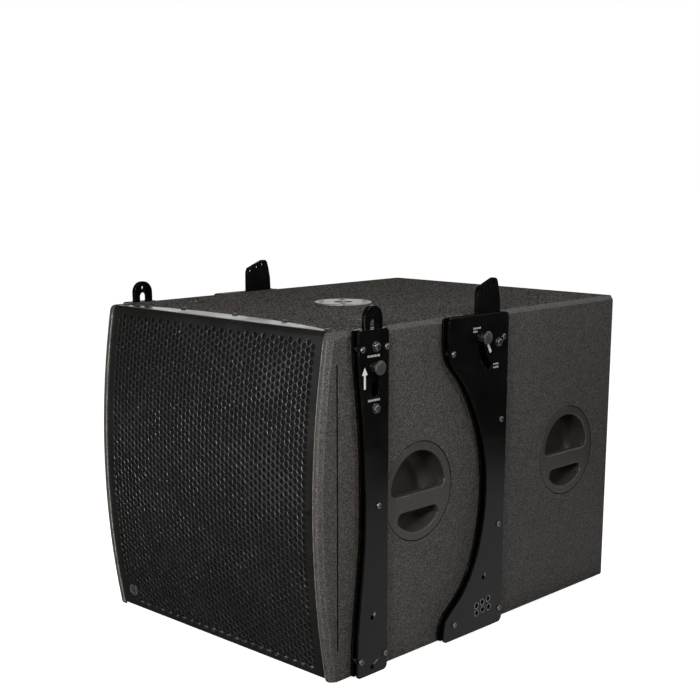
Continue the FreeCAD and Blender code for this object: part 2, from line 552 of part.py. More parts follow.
for (y, z) in FRONT_SCREWS + GUIDES:
    fi = fi.cut(cylx(SCREW_R, -1, U_IN1 + 1, y, z))
    fo = fo.cut(cylx(SCREW_R, U_OUT0 - 1, U_OUT1 + 1, y, z))
for (y, z) in REAR_SCREWS + [PIVOT]:
    ri_ = ri_.cut(cylx(SCREW_R, -1, U_IN1 + 1, y, z))
    ro_ = ro_.cut(cylx(SCREW_R, U_OUT0 - 1, U_OUT1 + 1, y, z))
for (y, z) in FRONT_PIN_HOLES:
    fi = fi.cut(cylx(PIN_HOLE_R, -1, U_IN1 + 1, y, z))
    fo = fo.cut(cylx(PIN_HOLE_R, U_OUT0 - 1, U_OUT1 + 1, y, z))
for (y, z) in REAR_PIN_HOLES:
    ri_ = ri_.cut(cylx(PIN_HOLE_R, -1, U_IN1 + 1, y, z))
    ro_ = ro_.cut(cylx(PIN_HOLE_R, U_OUT0 - 1, U_OUT1 + 1, y, z))

# detent holes for the plungers and the slots they travel in
for dz in (0.0, -FRONT_TRAVEL):
    fi = fi.cut(cylx(PIN_TIP_R + 0.15, -1, U_IN1 + 1, FKNOB[0], FKNOB[1] + dz))
fo = fo.cut(slot_z(U_OUT0 - 1, U_OUT1 + 1, FKNOB[0], FKNOB[1] - KNOB_SLOT, FKNOB[1], SLOT_HW))

ry, rz = RKNOB[0] - PIVOT[0], RKNOB[1] - PIVOT[1]
R_ARC = math.hypot(ry, rz)
A0 = math.degrees(math.atan2(rz, ry))


def on_arc(deg, r=None):
    r = R_ARC if r is None else r
    return (PIVOT[0] + r * math.cos(math.radians(deg)), PIVOT[1] + r * math.sin(math.radians(deg)))


for a in (A0, A0 + REAR_SWING):
    y, z = on_arc(a)
    ri_ = ri_.cut(cylx(PIN_TIP_R + 0.15, -1, U_IN1 + 1, y, z))


def arc_slot(u0, u1, hw):
    am = A0 + REAR_SWING / 2
    o0, om, o1 = on_arc(A0, R_ARC + hw), on_arc(am, R_ARC + hw), on_arc(A0 + REAR_SWING, R_ARC + hw)
    i0, im, i1 = on_arc(A0, R_ARC - hw), on_arc(am, R_ARC - hw), on_arc(A0 + REAR_SWING, R_ARC - hw)
    f = yz_face([arc3(o0, om, o1), ln(o1, i1), arc3(i1, im, i0), ln(i0, o0)], PX + u0)
    s = f.extrude(V(u1 - u0, 0, 0))
    for a in (A0, A0 + REAR_SWING):
        y, z = on_arc(a)
        s = s.fuse(cylx(hw, u0, u1, y, z))
    return s.removeSplitter()


ro_ = ro_.cut(arc_slot(U_OUT0 - 1, U_OUT1 + 1, SLOT_HW))

# spacers, button-head screws, guide bolts and pivot bolts
def button_screw(y, z):
    s = cylx(SCREW_R, -12.0, U_OUT1, y, z)
    h = cylx(5.25, U_OUT1, U_OUT1 + 3.2, y, z)
    h = fillet(h, 2.4, lambda e, bb: bb.XMin > PX + U_OUT1 + 3.1 and e.Length > 20, "button head")
    s = s.fuse(h)
    pts = [V(PX + U_OUT1 + 1.4, y + 2.3 * math.cos(math.radians(60 * k)), z + 2.3 * math.sin(math.radians(60 * k))) for k in range(6)]
    hexf = Part.Face(Part.makePolygon(pts + [pts[0]]))
    return s.cut(hexf.extrude(V(4, 0, 0))).removeSplitter()


def spacer(y, z):
    return cylx(SPACER_R, U_IN1, U_OUT0, y, z).cut(cylx(SCREW_R, U_IN1 - 1, U_OUT0 + 1, y, z))


def shoulder_bolt(y, z, shoulder_r, head_r, washer_r):
    s = cylx(SCREW_R, -12.0, U_OUT1, y, z).fuse(cylx(shoulder_r, U_IN1, U_OUT0, y, z))
    s = s.fuse(cylx(washer_r, U_OUT1, U_OUT1 + 1.4, y, z))
    h = cylx(head_r, U_OUT1 + 1.4, U_OUT1 + 6.0, y, z)
    h = fillet(h, 2.6, lambda e, bb: bb.XMin > PX + U_OUT1 + 5.9 and e.Length > 20, "bolt head")
    s = s.fuse(h)
    pts = [V(PX + U_OUT1 + 3.2, y + 2.9 * math.cos(math.radians(60 * k)), z + 2.9 * math.sin(math.radians(60 * k))) for k in range(6)]
    hexf = Part.Face(Part.makePolygon(pts + [pts[0]]))
    return s.cut(hexf.extrude(V(4, 0, 0))).removeSplitter()


spacers, screws = [], []
for (y, z) in FRONT_SCREWS + REAR_SCREWS:
    spacers.append(spacer(y, z))
    screws.append(button_screw(y, z))
spacers = compound(spacers + [mirror(s) for s in spacers])
screws = compound(screws + [mirror(s) for s in screws])
guides = [shoulder_bolt(y, z, GUIDE_R, 6.6, 8.6) for (y, z) in GUIDES]
guides = compound(guides + [mirror(s) for s in guides])
pv = shoulder_bolt(PIVOT[0], PIVOT[1], PIVOT_R, 6.6, 8.4)
pivots = compound([pv, mirror(pv)])

# ---------------------------------------------------------------------------
# Links
# ---------------------------------------------------------------------------
LINK_BOTTOM = 432.0
LINK_PIN_R = 4.1
hw = FRONT_LINK_HW
zc = FRONT_LINK_TOP - hw
fl_edges = [ln((FRONT_LINK_Y - hw, LINK_BOTTOM), (FRONT_LINK_Y - hw, zc)),
            arc3((FRONT_LINK_Y - hw, zc), (FRONT_LINK_Y, FRONT_LINK_TOP), (FRONT_LINK_Y + hw, zc)),
            ln((FRONT_LINK_Y + hw, zc), (FRONT_LINK_Y + hw, LINK_BOTTOM)),
            ln((FRONT_LINK_Y + hw, LINK_BOTTOM), (FRONT_LINK_Y - hw, LINK_BOTTOM))]
flink = yz_face(fl_edges, PX + U_LK0).extrude(V(LK_T, 0, 0))
flink = fillet(flink, 6.0, lambda e, bb: bb.XLength > 3 and bb.YLength < 0.1 and bb.ZLength < 0.1 and bb.ZMax < LINK_BOTTOM + 1, "front link foot")
flink = fillet(flink, 0.8, lambda e, bb: bb.XLength < 0.1 and bb.ZMax > 500 and bb.ZLength + bb.YLength > 30, "front link arris")
SLOT_R = GUIDE_R + 0.3
for (y, z) in GUIDES:
    flink = flink.cut(slot_z(U_LK0 - 1, U_LK1 + 1, y, z - 0.3, z + FRONT_TRAVEL + 0.3, SLOT_R))
SLEEVE_IN_R = 6.0
flink = flink.cut(cylx(SLEEVE_IN_R, U_LK0 - 1, U_LK1 + 1, FKNOB[0], FKNOB[1]))
flink = flink.cut(cylx(LINK_PIN_R, U_LK0 - 1, U_LK1 + 1, 84.1, 605.2))

# rear link: slanted rounded head with three holes, pivot eye and plunger boss
EYE_R = 12.4
BOSS_R = 14.5
poly = [(348.0, 580.0), (348.5, 617.8), (352.0, 626.1), (370.5, 633.4), (391.0, 640.8), (398.0, 641.0), (402.8, 635.8), (406.5, 622.8),
        (410.3, 603.5), (411.0, 590.5), (411.2, 582.0), (411.7, 536.4), PIVOT, RKNOB, (343.8, 543.0), (346.5, 562.0)]
w = Part.makePolygon([V(PX + U_LK0, p[0], p[1]) for p in poly] + [V(PX + U_LK0, poly[0][0], poly[0][1])])
rlink = Part.Face(w).extrude(V(LK_T, 0, 0))


def tangent_web(c0, r0, c1, r1, side):
    """Quad joining two discs along their outer tangent on one side."""
    dy, dz = c1[0] - c0[0], c1[1] - c0[1]
    d = math.hypot(dy, dz)
    a = math.atan2(dz, dy)
    b = math.acos((r0 - r1) / d) * side
    t0 = (c0[0] + r0 * math.cos(a + b), c0[1] + r0 * math.sin(a + b))
    t1 = (c1[0] + r1 * math.cos(a + b), c1[1] + r1 * math.sin(a + b))
    pts = [c0, t0, t1, c1]
    return Part.Face(Part.makePolygon([V(PX + U_LK0, p[0], p[1]) for p in pts] + [V(PX + U_LK0, pts[0][0], pts[0][1])])).extrude(V(LK_T, 0, 0))


rlink = rlink.fuse(cylx(EYE_R, U_LK0, U_LK1, *PIVOT)).fuse(cylx(BOSS_R, U_LK0, U_LK1, *RKNOB))
rlink = rlink.fuse(tangent_web(PIVOT, EYE_R, RKNOB, BOSS_R, 1))
rlink = rlink.removeSplitter()
rlink = fillet(rlink, 3.0, lambda e, bb: bb.XLength > 3 and bb.YLength < 0.1 and bb.ZLength < 0.1 and bb.ZMin > 612, "rear link head")
RL_HOLES = [(358.0, 620.2), (376.2, 627.2), (391.2, 632.2)]
for (y, z) in RL_HOLES:
    rlink = rlink.cut(cylx(LINK_PIN_R, U_LK0 - 1, U_LK1 + 1, y, z))
rlink = rlink.cut(cylx(PIVOT_R + RUN, U_LK0 - 1, U_LK1 + 1, *PIVOT))
rlink = rlink.cut(cylx(SLEEVE_IN_R, U_LK0 - 1, U_LK1 + 1, *RKNOB))

# ---------------------------------------------------------------------------
# Spring plungers (sleeve screwed into the link, knob and pin, return spring)
# ---------------------------------------------------------------------------
CHAMBER_R = 4.6
PLUNGE_R = 3.0
U_SL1 = U_OUT1 + 5.0                 # outer end of the sleeve
PIN_CLEAR = 0.3                      # pin drawn just clear of the inner plate


def sleeve(y, z):
    s = cylx(SLEEVE_IN_R, U_LK0, U_LK1, y, z).fuse(cylx(SLEEVE_R, U_LK1, U_SL1, y, z))
    s = s.cut(cylx(CHAMBER_R, U_LK0 - 1, U_SL1 - 2.0, y, z)).cut(cylx(PLUNGE_R + RUN, U_LK0 - 1, U_SL1 + 1, y, z))
    return s.removeSplitter()


def spring(y, z):
    s = cylx(4.2, U_LK0 + 2.6, U_SL1 - 2.1, y, z)
    return s.cut(cylx(3.3, U_LK0, U_SL1, y, z))


def plunger(y, z):
    s = cylx(PLUNGE_R, U_IN1 + PIN_CLEAR, U_SL1 + 6.0, y, z)
    s = s.fuse(cylx(CHAMBER_R - 0.1, U_LK0 + 0.4, U_LK0 + 2.4, y, z))
    # mushroom knob: neck, flared cap with a domed face
    k0 = U_SL1 + 0.3

    def P(u, r):
        return V(PX + u, r, 0)
    e = [Part.LineSegment(P(k0, 0), P(k0, 7.4)).toShape(),
         Part.LineSegment(P(k0, 7.4), P(k0 + 2.2, 7.4)).toShape(),
         Part.Arc(P(k0 + 2.2, 7.4), P(k0 + 3.6, 8.9), P(k0 + 4.0, 11.0)).toShape(),
         Part.Arc(P(k0 + 4.0, 11.0), P(k0 + 5.1, 12.0), P(k0 + 6.4, 11.7)).toShape(),
         Part.Arc(P(k0 + 6.4, 11.7), P(k0 + 8.4, 10.2), P(k0 + 9.2, 8.0)).toShape(),
         Part.LineSegment(P(k0 + 9.2, 8.0), P(k0 + 9.9, 0)).toShape(),
         Part.LineSegment(P(k0 + 9.9, 0), P(k0, 0)).toShape()]
    f = Part.Face(Part.Wire(Part.__sortEdges__(e)))
    kn = f.revolve(V(PX, 0, 0), V(1, 0, 0), 360)
    kn.translate(V(0, y, z))
    return s.fuse(kn).removeSplitter()


# ---------------------------------------------------------------------------
# Driver
# ---------------------------------------------------------------------------
def rev_y(pts, z=DRV_Z):
    """Solid of revolution about the driver axis from (y, r) points."""
    vs = [V(p[1], p[0], 0) for p in pts]
    w = Part.makePolygon(vs + [vs[0]])
    s = Part.Face(w).revolve(V(0, 0, 0), V(0, 1, 0), 360)
    s.translate(V(0, 0, z))
    return s


yb = BAF_Y
gasket = rev_y([(yb - 1.5, 213), (yb - 1.5, 230), (yb, 230), (yb, 213)])
for (x, z) in DRV_BOLTS:
    gasket = gasket.cut(cyl(2.9, (x, yb - 5, z), (x, yb + 5, z)))
fy = yb - 1.5
basket = rev_y([(fy - 7, 204), (fy - 7, DRV_R), (fy, DRV_R), (fy, 211), (fy + 12, 207), (175, 104), (186, 104), (186, 86), (176, 86), (176, 97), (fy + 10, 202), (fy - 1, 204)])
for k in range(8):
    a = 45.0 * k
    # window tool turned around the driver axis
    tool = box(118, 186, 78, 158, -34, 34)
    tool.rotate(V(0, 0, 0), V(0, 1, 0), a + 22.5)
    tool.translate(V(0, 0, DRV_Z))
    basket = basket.cut(tool)
for (x, z) in DRV_BOLTS:
    basket = basket.cut(cyl(2.9, (x, fy - 10, z), (x, fy + 1, z)))

top_plate = rev_y([(176, 52), (176, 85.7), (186, 85.7), (186, 52)])
magnet = rev_y([(186, 62), (186, 110), (208, 110), (208, 62)])
yoke = rev_y([(208, 0), (208, 104), (220, 104), (220, 0)]).fuse(rev_y([(174, 0), (174, 48.5), (208, 48.5), (208, 0)])).removeSplitter()
coil = rev_y([(118, 49.4), (118, 50.4), (192, 50.4), (192, 49.4)])
cone = rev_y([(119, 50.5), (52, 190), (50.2, 190), (116.4, 50.5)])
dust = rev_y([(107.0, 0), (108.8, 22), (113.0, 40), (118.0, 49.3), (119.6, 49.3), (114.6, 39.4), (110.4, 22), (108.6, 0)])


def half_roll():
    e = []
    r0, r1, y0 = 190.3, 203.7, 47.0
    rm = (r0 + r1) / 2
    ro_2, ri_2 = (r1 - r0) / 2, (r1 - r0) / 2 - 1.3
    P = lambda y, r: V(r, y, 0)
    e.append(Part.Arc(P(y0, r0), P(y0 - ro_2, rm), P(y0, r1)).toShape())
    e.append(Part.LineSegment(P(y0, r1), P(y0, r1 - 1.3)).toShape())
    e.append(Part.Arc(P(y0, r1 - 1.3), P(y0 - ri_2, rm), P(y0, r0 + 1.3)).toShape())
    e.append(Part.LineSegment(P(y0, r0 + 1.3), P(y0, r0)).toShape())
    s = Part.Face(Part.Wire(Part.__sortEdges__(e))).revolve(V(0, 0, 0), V(0, 1, 0), 360)
    s.translate(V(0, 0, DRV_Z))
    return s


surround = half_roll()
sp = []
for i in range(15):
    r = 51.0 + i * 4.6
    sp.append((150.0 + (1.6 if i % 2 else -1.6), r))
spider = rev_y(sp + [(p[0] + 0.8, p[1]) for p in reversed(sp)])

bolts = []
for (x, z) in DRV_BOLTS:
    b = cyl(2.9, (x, fy - 7, z), (x, yb + 15, z)).fuse(cyl(4.9, (x, fy - 12, z), (x, fy - 7, z)))
    b = b.cut(cyl(2.3, (x, fy - 13, z), (x, fy - 9.4, z)))
    bolts.append(b.removeSplitter())
bolts = compound(bolts)

# twin internal lead from the input sockets to the driver, straight runs and arcs
def lead(pts, rad, bend):
    es = []
    prev = V(*pts[0])
    for i in range(1, len(pts) - 1):
        p = V(*pts[i])
        d0 = (p - V(*pts[i - 1])).normalize()
        d1 = (V(*pts[i + 1]) - p).normalize()
        ang = math.acos(max(-1, min(1, d0.dot(d1))))
        t = bend * math.tan(ang / 2)
        a = p - d0 * t
        b = p + d1 * t
        bis = (d1 - d0).normalize()
        m = p + bis * (bend / math.cos(ang / 2) - bend)
        es.append(Part.LineSegment(prev, a).toShape())
        es.append(Part.Arc(a, m, b).toShape())
        prev = b
    es.append(Part.LineSegment(prev, V(*pts[-1])).toShape())
    w = Part.Wire(es)
    d = (V(*pts[1]) - V(*pts[0])).normalize()
    c = Part.Wire(Part.makeCircle(rad, V(*pts[0]), d))
    s = w.makePipeShell([c], True, False)
    print("lead length %.0f volume ratio %.3f" % (w.Length, s.Volume / (w.Length * math.pi * rad * rad)))
    return s


ys = yf - 26.0
leads = compound([lead([(sx * SOCK_X, ys, CON_Z), (sx * SOCK_X, 650.0, CON_Z), (sx * 60.0, 560.0, 350.0), (sx * 60.0, 330.0, 350.0),
                        (sx * 45.0, 260.0, 330.0), (sx * 45.0, 220.0, 330.0)], 2.2, 40.0) for sx in (-1, 1)])

# ---------------------------------------------------------------------------
# Write the sub-parts
# ---------------------------------------------------------------------------
save("side_panel_right", side_r)
save("side_panel_left", side_l)
save("top_panel", top)
save("bottom_panel", bottom)
save("rear_panel", rear)
save("front_baffle", baffle)
save("port_shelf", port_shelf)
save("window_brace", brace)
save("grille_cleats", cleats)
save("grille", grille)
save("grille_foam", foam)
save("grille_screws", grille_screws)
save("badge_disc", badge)
save("pole_socket", pole)
save("panel_screws", panel_screws)
save("rubber_feet", rubber_feet)
save("handles_right", handles_right)
save("handles_left", handles_left)
save("connector_tray", tray)
save("connector_sockets", sockets)
save("plate_spacers", spacers)
save("plate_screws", screws)
save("guide_bolts", guides)
save("pivot_bolts", pivots)
for side, m in (("right", lambda s: s), ("left", mirror)):
    save("front_inner_plate_" + side, m(fi))
    save("front_outer_plate_" + side, m(fo))
    save("rear_inner_plate_" + side, m(ri_))
    save("rear_outer_plate_" + side, m(ro_))
    save("front_link_" + side, m(flink))
    save("rear_link_" + side, m(rlink))
    save("front_pin_sleeve_" + side, m(sleeve(*FKNOB)))
    save("front_lock_plunger_" + side, m(plunger(*FKNOB)))
    save("front_pin_spring_" + side, m(spring(*FKNOB)))
    save("rear_pin_sleeve_" + side, m(sleeve(*RKNOB)))
    save("rear_lock_plunger_" + side, m(plunger(*RKNOB)))
    save("rear_pin_spring_" + side, m(spring(*RKNOB)))
save("woofer_basket", basket)
save("woofer_gasket", gasket)
save("woofer_top_plate", top_plate)
save("woofer_magnet", magnet)
save("woofer_yoke", yoke)
save("woofer_cone", cone)
save("woofer_dust_cap", dust)
save("woofer_voice_coil", coil)
save("woofer_surround", surround)
save("woofer_spider", spider)
save("woofer_bolts", bolts)
save("woofer_leads", leads)
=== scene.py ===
import bpy
import bmesh
import math
import random
from mathutils import Vector, Matrix, geometry


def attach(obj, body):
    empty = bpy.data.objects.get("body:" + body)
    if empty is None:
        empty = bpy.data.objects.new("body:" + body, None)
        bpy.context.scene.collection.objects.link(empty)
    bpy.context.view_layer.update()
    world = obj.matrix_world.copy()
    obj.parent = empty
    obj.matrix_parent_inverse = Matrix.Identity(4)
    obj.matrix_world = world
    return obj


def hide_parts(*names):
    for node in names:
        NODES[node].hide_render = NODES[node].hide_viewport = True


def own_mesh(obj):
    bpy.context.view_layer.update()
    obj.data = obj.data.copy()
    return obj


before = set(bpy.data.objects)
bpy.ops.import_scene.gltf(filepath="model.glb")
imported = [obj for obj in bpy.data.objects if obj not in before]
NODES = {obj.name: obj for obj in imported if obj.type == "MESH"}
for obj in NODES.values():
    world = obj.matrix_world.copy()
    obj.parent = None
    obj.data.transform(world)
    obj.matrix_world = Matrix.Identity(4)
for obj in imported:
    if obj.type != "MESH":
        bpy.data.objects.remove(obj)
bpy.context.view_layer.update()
SCENE = bpy.context.scene
random.seed(7)

# ---------------------------------------------------------------------------
# Working dimensions, millimetres in the cabinet's drawing frame
# (X across, Y back from the front top edge, Z up from the underside).
# ---------------------------------------------------------------------------
YS, ZS = -386.0, 8.0
CAB_H, BULGE = 580.0, 28.0
BOW_R = ((CAB_H / 2.0) ** 2 + BULGE ** 2) / (2.0 * BULGE)
PX = 290.0
SET = 3.0            # grille set back behind the cheeks


def P(x, y, z):
    """Drawing millimetres to the row frame in metres."""
    return Vector((x * 0.001, (y + YS) * 0.001, (z + ZS) * 0.001))


def bow(z, inset=0.0):
    r = BOW_R - inset
    return (BOW_R - BULGE) - math.sqrt(r * r - (z - CAB_H / 2.0) ** 2)


# ---------------------------------------------------------------------------
# Material helpers
# ---------------------------------------------------------------------------
def srgb(r, g, b):
    def f(c):
        c = c / 255.0
        return c / 12.92 if c <= 0.04045 else ((c + 0.055) / 1.055) ** 2.4
    return (f(r), f(g), f(b), 1.0)


class Mat:
    """Small builder round a Principled material in object coordinates (metres)."""

    def __init__(self, name, rough=0.5, metallic=0.0, spec=0.5, coat=0.0, coat_rough=0.1):
        self.m = bpy.data.materials.new(name)
        self.m.use_nodes = True
        self.t = self.m.node_tree
        self.t.nodes.clear()
        self.out = self.t.nodes.new("ShaderNodeOutputMaterial")
        self.b = self.t.nodes.new("ShaderNodeBsdfPrincipled")
        self.t.links.new(self.b.outputs[0], self.out.inputs[0])
        self.b.inputs["Roughness"].default_value = rough
        self.b.inputs["Metallic"].default_value = metallic
        self.b.inputs["Specular IOR Level"].default_value = spec
        self.b.inputs["Coat Weight"].default_value = coat
        self.b.inputs["Coat Roughness"].default_value = coat_rough
        self.tc = self.t.nodes.new("ShaderNodeTexCoord")
        self.last_normal = None

    def link(self, a, b):
        self.t.links.new(a, b)

    def mapping(self, scale):
        mp = self.t.nodes.new("ShaderNodeMapping")
        mp.inputs["Scale"].default_value = scale
        self.link(self.tc.outputs["Object"], mp.inputs["Vector"])
        return mp.outputs[0]

    def noise(self, scale, detail=3.0, rough=0.5, vec=None, distortion=0.0):
        n = self.t.nodes.new("ShaderNodeTexNoise")
        n.inputs["Scale"].default_value = scale
        n.inputs["Detail"].default_value = detail
        n.inputs["Roughness"].default_value = rough
        n.inputs["Distortion"].default_value = distortion
        self.link(vec if vec is not None else self.tc.outputs["Object"], n.inputs["Vector"])
        return n.outputs["Fac"]

    def voronoi(self, scale, feature="SMOOTH_F1", vec=None, smooth=0.6):
        n = self.t.nodes.new("ShaderNodeTexVoronoi")
        n.feature = feature
        n.inputs["Scale"].default_value = scale
        if feature == "SMOOTH_F1":
            n.inputs["Smoothness"].default_value = smooth
        self.link(vec if vec is not None else self.tc.outputs["Object"], n.inputs["Vector"])
        return n.outputs["Distance"]

    def ramp(self, fac, stops, interp="LINEAR"):
        r = self.t.nodes.new("ShaderNodeValToRGB")
        r.color_ramp.interpolation = interp
        e = r.color_ramp.elements
        while len(e) > 1:
            e.remove(e[0])
        e[0].position, e[0].color = stops[0][0], stops[0][1]
        for p, c in stops[1:]:
            k = e.new(p)
            k.color = c
        self.link(fac, r.inputs["Fac"])
        return r.outputs["Color"]

    def math(self, op, a, b=None, clamp=False):
        n = self.t.nodes.new("ShaderNodeMath")
        n.operation = op
        n.use_clamp = clamp
        for i, v in enumerate((a, b)):
            if v is None:
                continue
            if isinstance(v, (int, float)):
                n.inputs[i].default_value = v
            else:
                self.link(v, n.inputs[i])
        return n.outputs[0]

    def mix(self, fac, a, b, blend="MIX"):
        n = self.t.nodes.new("ShaderNodeMix")
        n.data_type = "RGBA"
        n.blend_type = blend
        n.clamp_factor = True
        if isinstance(fac, (int, float)):
            n.inputs[0].default_value = fac
        else:
            self.link(fac, n.inputs[0])
        for k, v in ((6, a), (7, b)):
            if isinstance(v, tuple):
                n.inputs[k].default_value = v
            else:
                self.link(v, n.inputs[k])
        return n.outputs[2]

    def map_range(self, v, a, b, c, d):
        n = self.t.nodes.new("ShaderNodeMapRange")
        n.inputs["From Min"].default_value = a
        n.inputs["From Max"].default_value = b
        n.inputs["To Min"].default_value = c
        n.inputs["To Max"].default_value = d
        self.link(v, n.inputs["Value"])
        return n.outputs["Result"]

    def color(self, c):
        if isinstance(c, tuple):
            self.b.inputs["Base Color"].default_value = c
        else:
            self.link(c, self.b.inputs["Base Color"])

    def rough(self, v):
        self.link(v, self.b.inputs["Roughness"])

    def bevel(self, radius, samples=6):
        n = self.t.nodes.new("ShaderNodeBevel")
        n.samples = samples
        n.inputs["Radius"].default_value = radius
        self.last_normal = n.outputs[0]

    def bump(self, height, strength, distance):
        n = self.t.nodes.new("ShaderNodeBump")
        n.inputs["Strength"].default_value = strength
        n.inputs["Distance"].default_value = distance
        self.link(height, n.inputs["Height"])
        if self.last_normal is not None:
            self.link(self.last_normal, n.inputs["Normal"])
        self.last_normal = n.outputs[0]

    def done(self):
        if self.last_normal is not None:
            self.link(self.last_normal, self.b.inputs["Normal"])
        return self.m


def edge_mask(mt, radius, gain=6.0):
    """1 on convex and concave arrises, 0 on flats: rounded normal against the true one."""
    bv = mt.t.nodes.new("ShaderNodeBevel")
    bv.samples = 6
    bv.inputs["Radius"].default_value = radius
    geo = mt.t.nodes.new("ShaderNodeNewGeometry")
    dt = mt.t.nodes.new("ShaderNodeVectorMath")
    dt.operation = "DOT_PRODUCT"
    mt.link(bv.outputs[0], dt.inputs[0])
    mt.link(geo.outputs["Normal"], dt.inputs[1])
    inv = mt.math("SUBTRACT", 1.0, dt.outputs["Value"])
    return mt.math("MULTIPLY", inv, gain, clamp=True)


# ---------------------------------------------------------------------------
# Materials
# ---------------------------------------------------------------------------
def coat_material(name, lift=1.0, grain=1.0, spec=0.30, contrast=0.9, lump=0.0, round_over=0.0036, cheek_highlight=0.0, gloss=(0.40, 0.60)):
    """Pebbled sprayed coating, dark warm grey with light and dark flecks."""
    m = Mat(name, rough=0.58, spec=spec)
    cells = m.voronoi(520.0 * grain, "SMOOTH_F1", smooth=0.6)
    grit = m.noise(760.0 * grain, 3.0, 0.62)
    fleck = m.noise(640.0 * grain, 2.0, 0.55)
    broad = m.noise(5.0, 3.0, 0.55)
    height = m.math("ADD", m.math("MULTIPLY", cells, 1.1), m.math("MULTIPLY", grit, 0.9))
    half = 0.15 / contrast
    base = m.ramp(fleck, [(0.5 - half, srgb(24 * lift, 22.5 * lift, 21.5 * lift)), (0.5, srgb(55 * lift, 51.5 * lift, 49 * lift)),
                          (0.5 + half, srgb(112 * lift, 107 * lift, 102 * lift))])
    tone = m.ramp(broad, [(0.3, (0.90, 0.90, 0.90, 1)), (0.7, (1.0, 1.0, 1.0, 1))])
    col = m.mix(1.0, base, tone, "MULTIPLY")
    # arrises are painted a lighter grey: partly edge wear, mostly a painted highlight along the edges
    edge_wear_and_highlight = m.math("MULTIPLY", edge_mask(m, 0.0016, 3.0), m.map_range(m.noise(300.0, 2.0, 0.6), 0.38, 0.62, 0.1, 0.85), clamp=True)
    col = m.mix(edge_wear_and_highlight, col, srgb(124 * lift, 119 * lift, 114 * lift))
    if cheek_highlight > 0:
        # painted highlight: the front cheek's arrises are painted a light grey in patches, standing in for the
        # glints on their rounded edges
        sep = m.t.nodes.new("ShaderNodeSeparateXYZ")
        m.link(m.tc.outputs["Object"], sep.inputs[0])
        front = m.map_range(sep.outputs["Y"], -0.3762, -0.3752, 1.0, 0.0)
        front = m.math("MULTIPLY", front, m.map_range(sep.outputs["Z"], 0.570, 0.577, 1.0, 0.0))
        wide = edge_mask(m, 0.0032, 8.0)
        patch = m.map_range(m.noise(420.0, 2.0, 0.6), 0.36, 0.60, 0.25, 1.0)
        wear = m.math("MULTIPLY", m.math("MULTIPLY", wide, front), m.math("MULTIPLY", patch, cheek_highlight), clamp=True)
        col = m.mix(wear, col, srgb(196, 190, 183))
    m.color(col)
    m.rough(m.map_range(grit, 0.3, 0.7, gloss[0], gloss[1]))
    m.bevel(round_over, samples=8)
    m.bump(height, 0.9, 0.0007)
    if lump > 0:
        m.bump(m.noise(190.0, 2.0, 0.5), lump, 0.0016)
    return m.done()


def satin_material(name, c, rough=0.36, spec=0.5, peel=0.10, wear=0.0, bevel=0.0006, dust=0.15):
    """Powder-coated steel: fine orange peel, soft smudges, worn arrises."""
    m = Mat(name, rough=rough, spec=spec)
    peel_n = m.noise(900.0, 2.0, 0.5)
    fine = m.noise(2600.0, 2.0, 0.6)
    smudge = m.noise(11.0, 5.0, 0.62, distortion=0.6)
    lum = m.map_range(smudge, 0.3, 0.75, 1.0 - dust, 1.0 + dust)
    cc = m.t.nodes.new("ShaderNodeCombineColor")
    for k in range(3):
        m.link(m.math("MULTIPLY", lum, c[k]), cc.inputs[k])
    col = cc.outputs[0]
    if wear > 0:
        e = edge_mask(m, bevel * 1.6, 5.0)
        patch = m.map_range(m.noise(70.0, 4.0, 0.7), 0.48, 0.66, 0.0, wear)
        col = m.mix(m.math("MULTIPLY", e, patch, clamp=True), col, (0.30, 0.29, 0.275, 1.0))
    m.color(col)
    m.rough(m.map_range(smudge, 0.3, 0.7, rough - 0.05, rough + 0.08))
    if bevel > 0:
        m.bevel(bevel)
    m.bump(m.math("ADD", peel_n, m.math("MULTIPLY", fine, 0.4)), peel, 0.00012)
    return m.done()


def metal_material(name, c, rough=0.3, brush=None, bevel=0.0004):
    m = Mat(name, rough=rough, metallic=1.0)
    sc = brush if brush else (260.0, 260.0, 260.0)
    lines = m.noise(1.0, 4.0, 0.6, vec=m.mapping(sc))
    spots = m.noise(160.0, 4.0, 0.65)
    m.color(m.ramp(spots, [(0.3, tuple(x * 0.8 for x in c[:3]) + (1.0,)), (0.7, c)]))
    m.rough(m.map_range(lines, 0.25, 0.75, rough - 0.07, rough + 0.12))
    m.bevel(bevel)
    m.bump(lines, 0.12, 0.00008)
    return m.done()


def plastic_material(name, c, rough=0.42, grain=1500.0, bump=0.10, spec=0.5, bevel=0.0006):
    m = Mat(name, rough=rough, spec=spec)
    g = m.noise(grain, 2.0, 0.55)
    s = m.noise(22.0, 4.0, 0.6)
    m.color(m.ramp(s, [(0.3, tuple(x * 0.85 for x in c[:3]) + (1.0,)), (0.7, c)]))
    m.rough(m.map_range(s, 0.3, 0.7, rough - 0.06, rough + 0.08))
    m.bevel(bevel)
    m.bump(g, bump, 0.00015)
    return m.done()


def fibre_material(name, c, scale=700.0, rough=0.9, weave=False):
    m = Mat(name, rough=rough, spec=0.25)
    g = m.noise(scale, 5.0, 0.7)
    if weave:
        w1 = m.t.nodes.new("ShaderNodeTexWave")
        w1.inputs["Scale"].default_value = 260.0
        w1.inputs["Distortion"].default_value = 0.8
        m.link(m.tc.outputs["Object"], w1.inputs["Vector"])
        g = m.math("ADD", m.math("MULTIPLY", w1.outputs["Fac"], 0.5), g)
    m.color(m.ramp(g, [(0.3, tuple(x * 0.7 for x in c[:3]) + (1.0,)), (0.75, c)]))
    m.bump(g, 0.5, 0.0004)
    return m.done()


def ply_material(name, c):
    m = Mat(name, rough=0.7, spec=0.3)
    grain = m.noise(1.0, 6.0, 0.6, vec=m.mapping((14.0, 160.0, 160.0)), distortion=0.8)
    m.color(m.ramp(grain, [(0.3, tuple(x * 0.6 for x in c[:3]) + (1.0,)), (0.72, c)]))
    m.bump(grain, 0.25, 0.0003)
    return m.done()


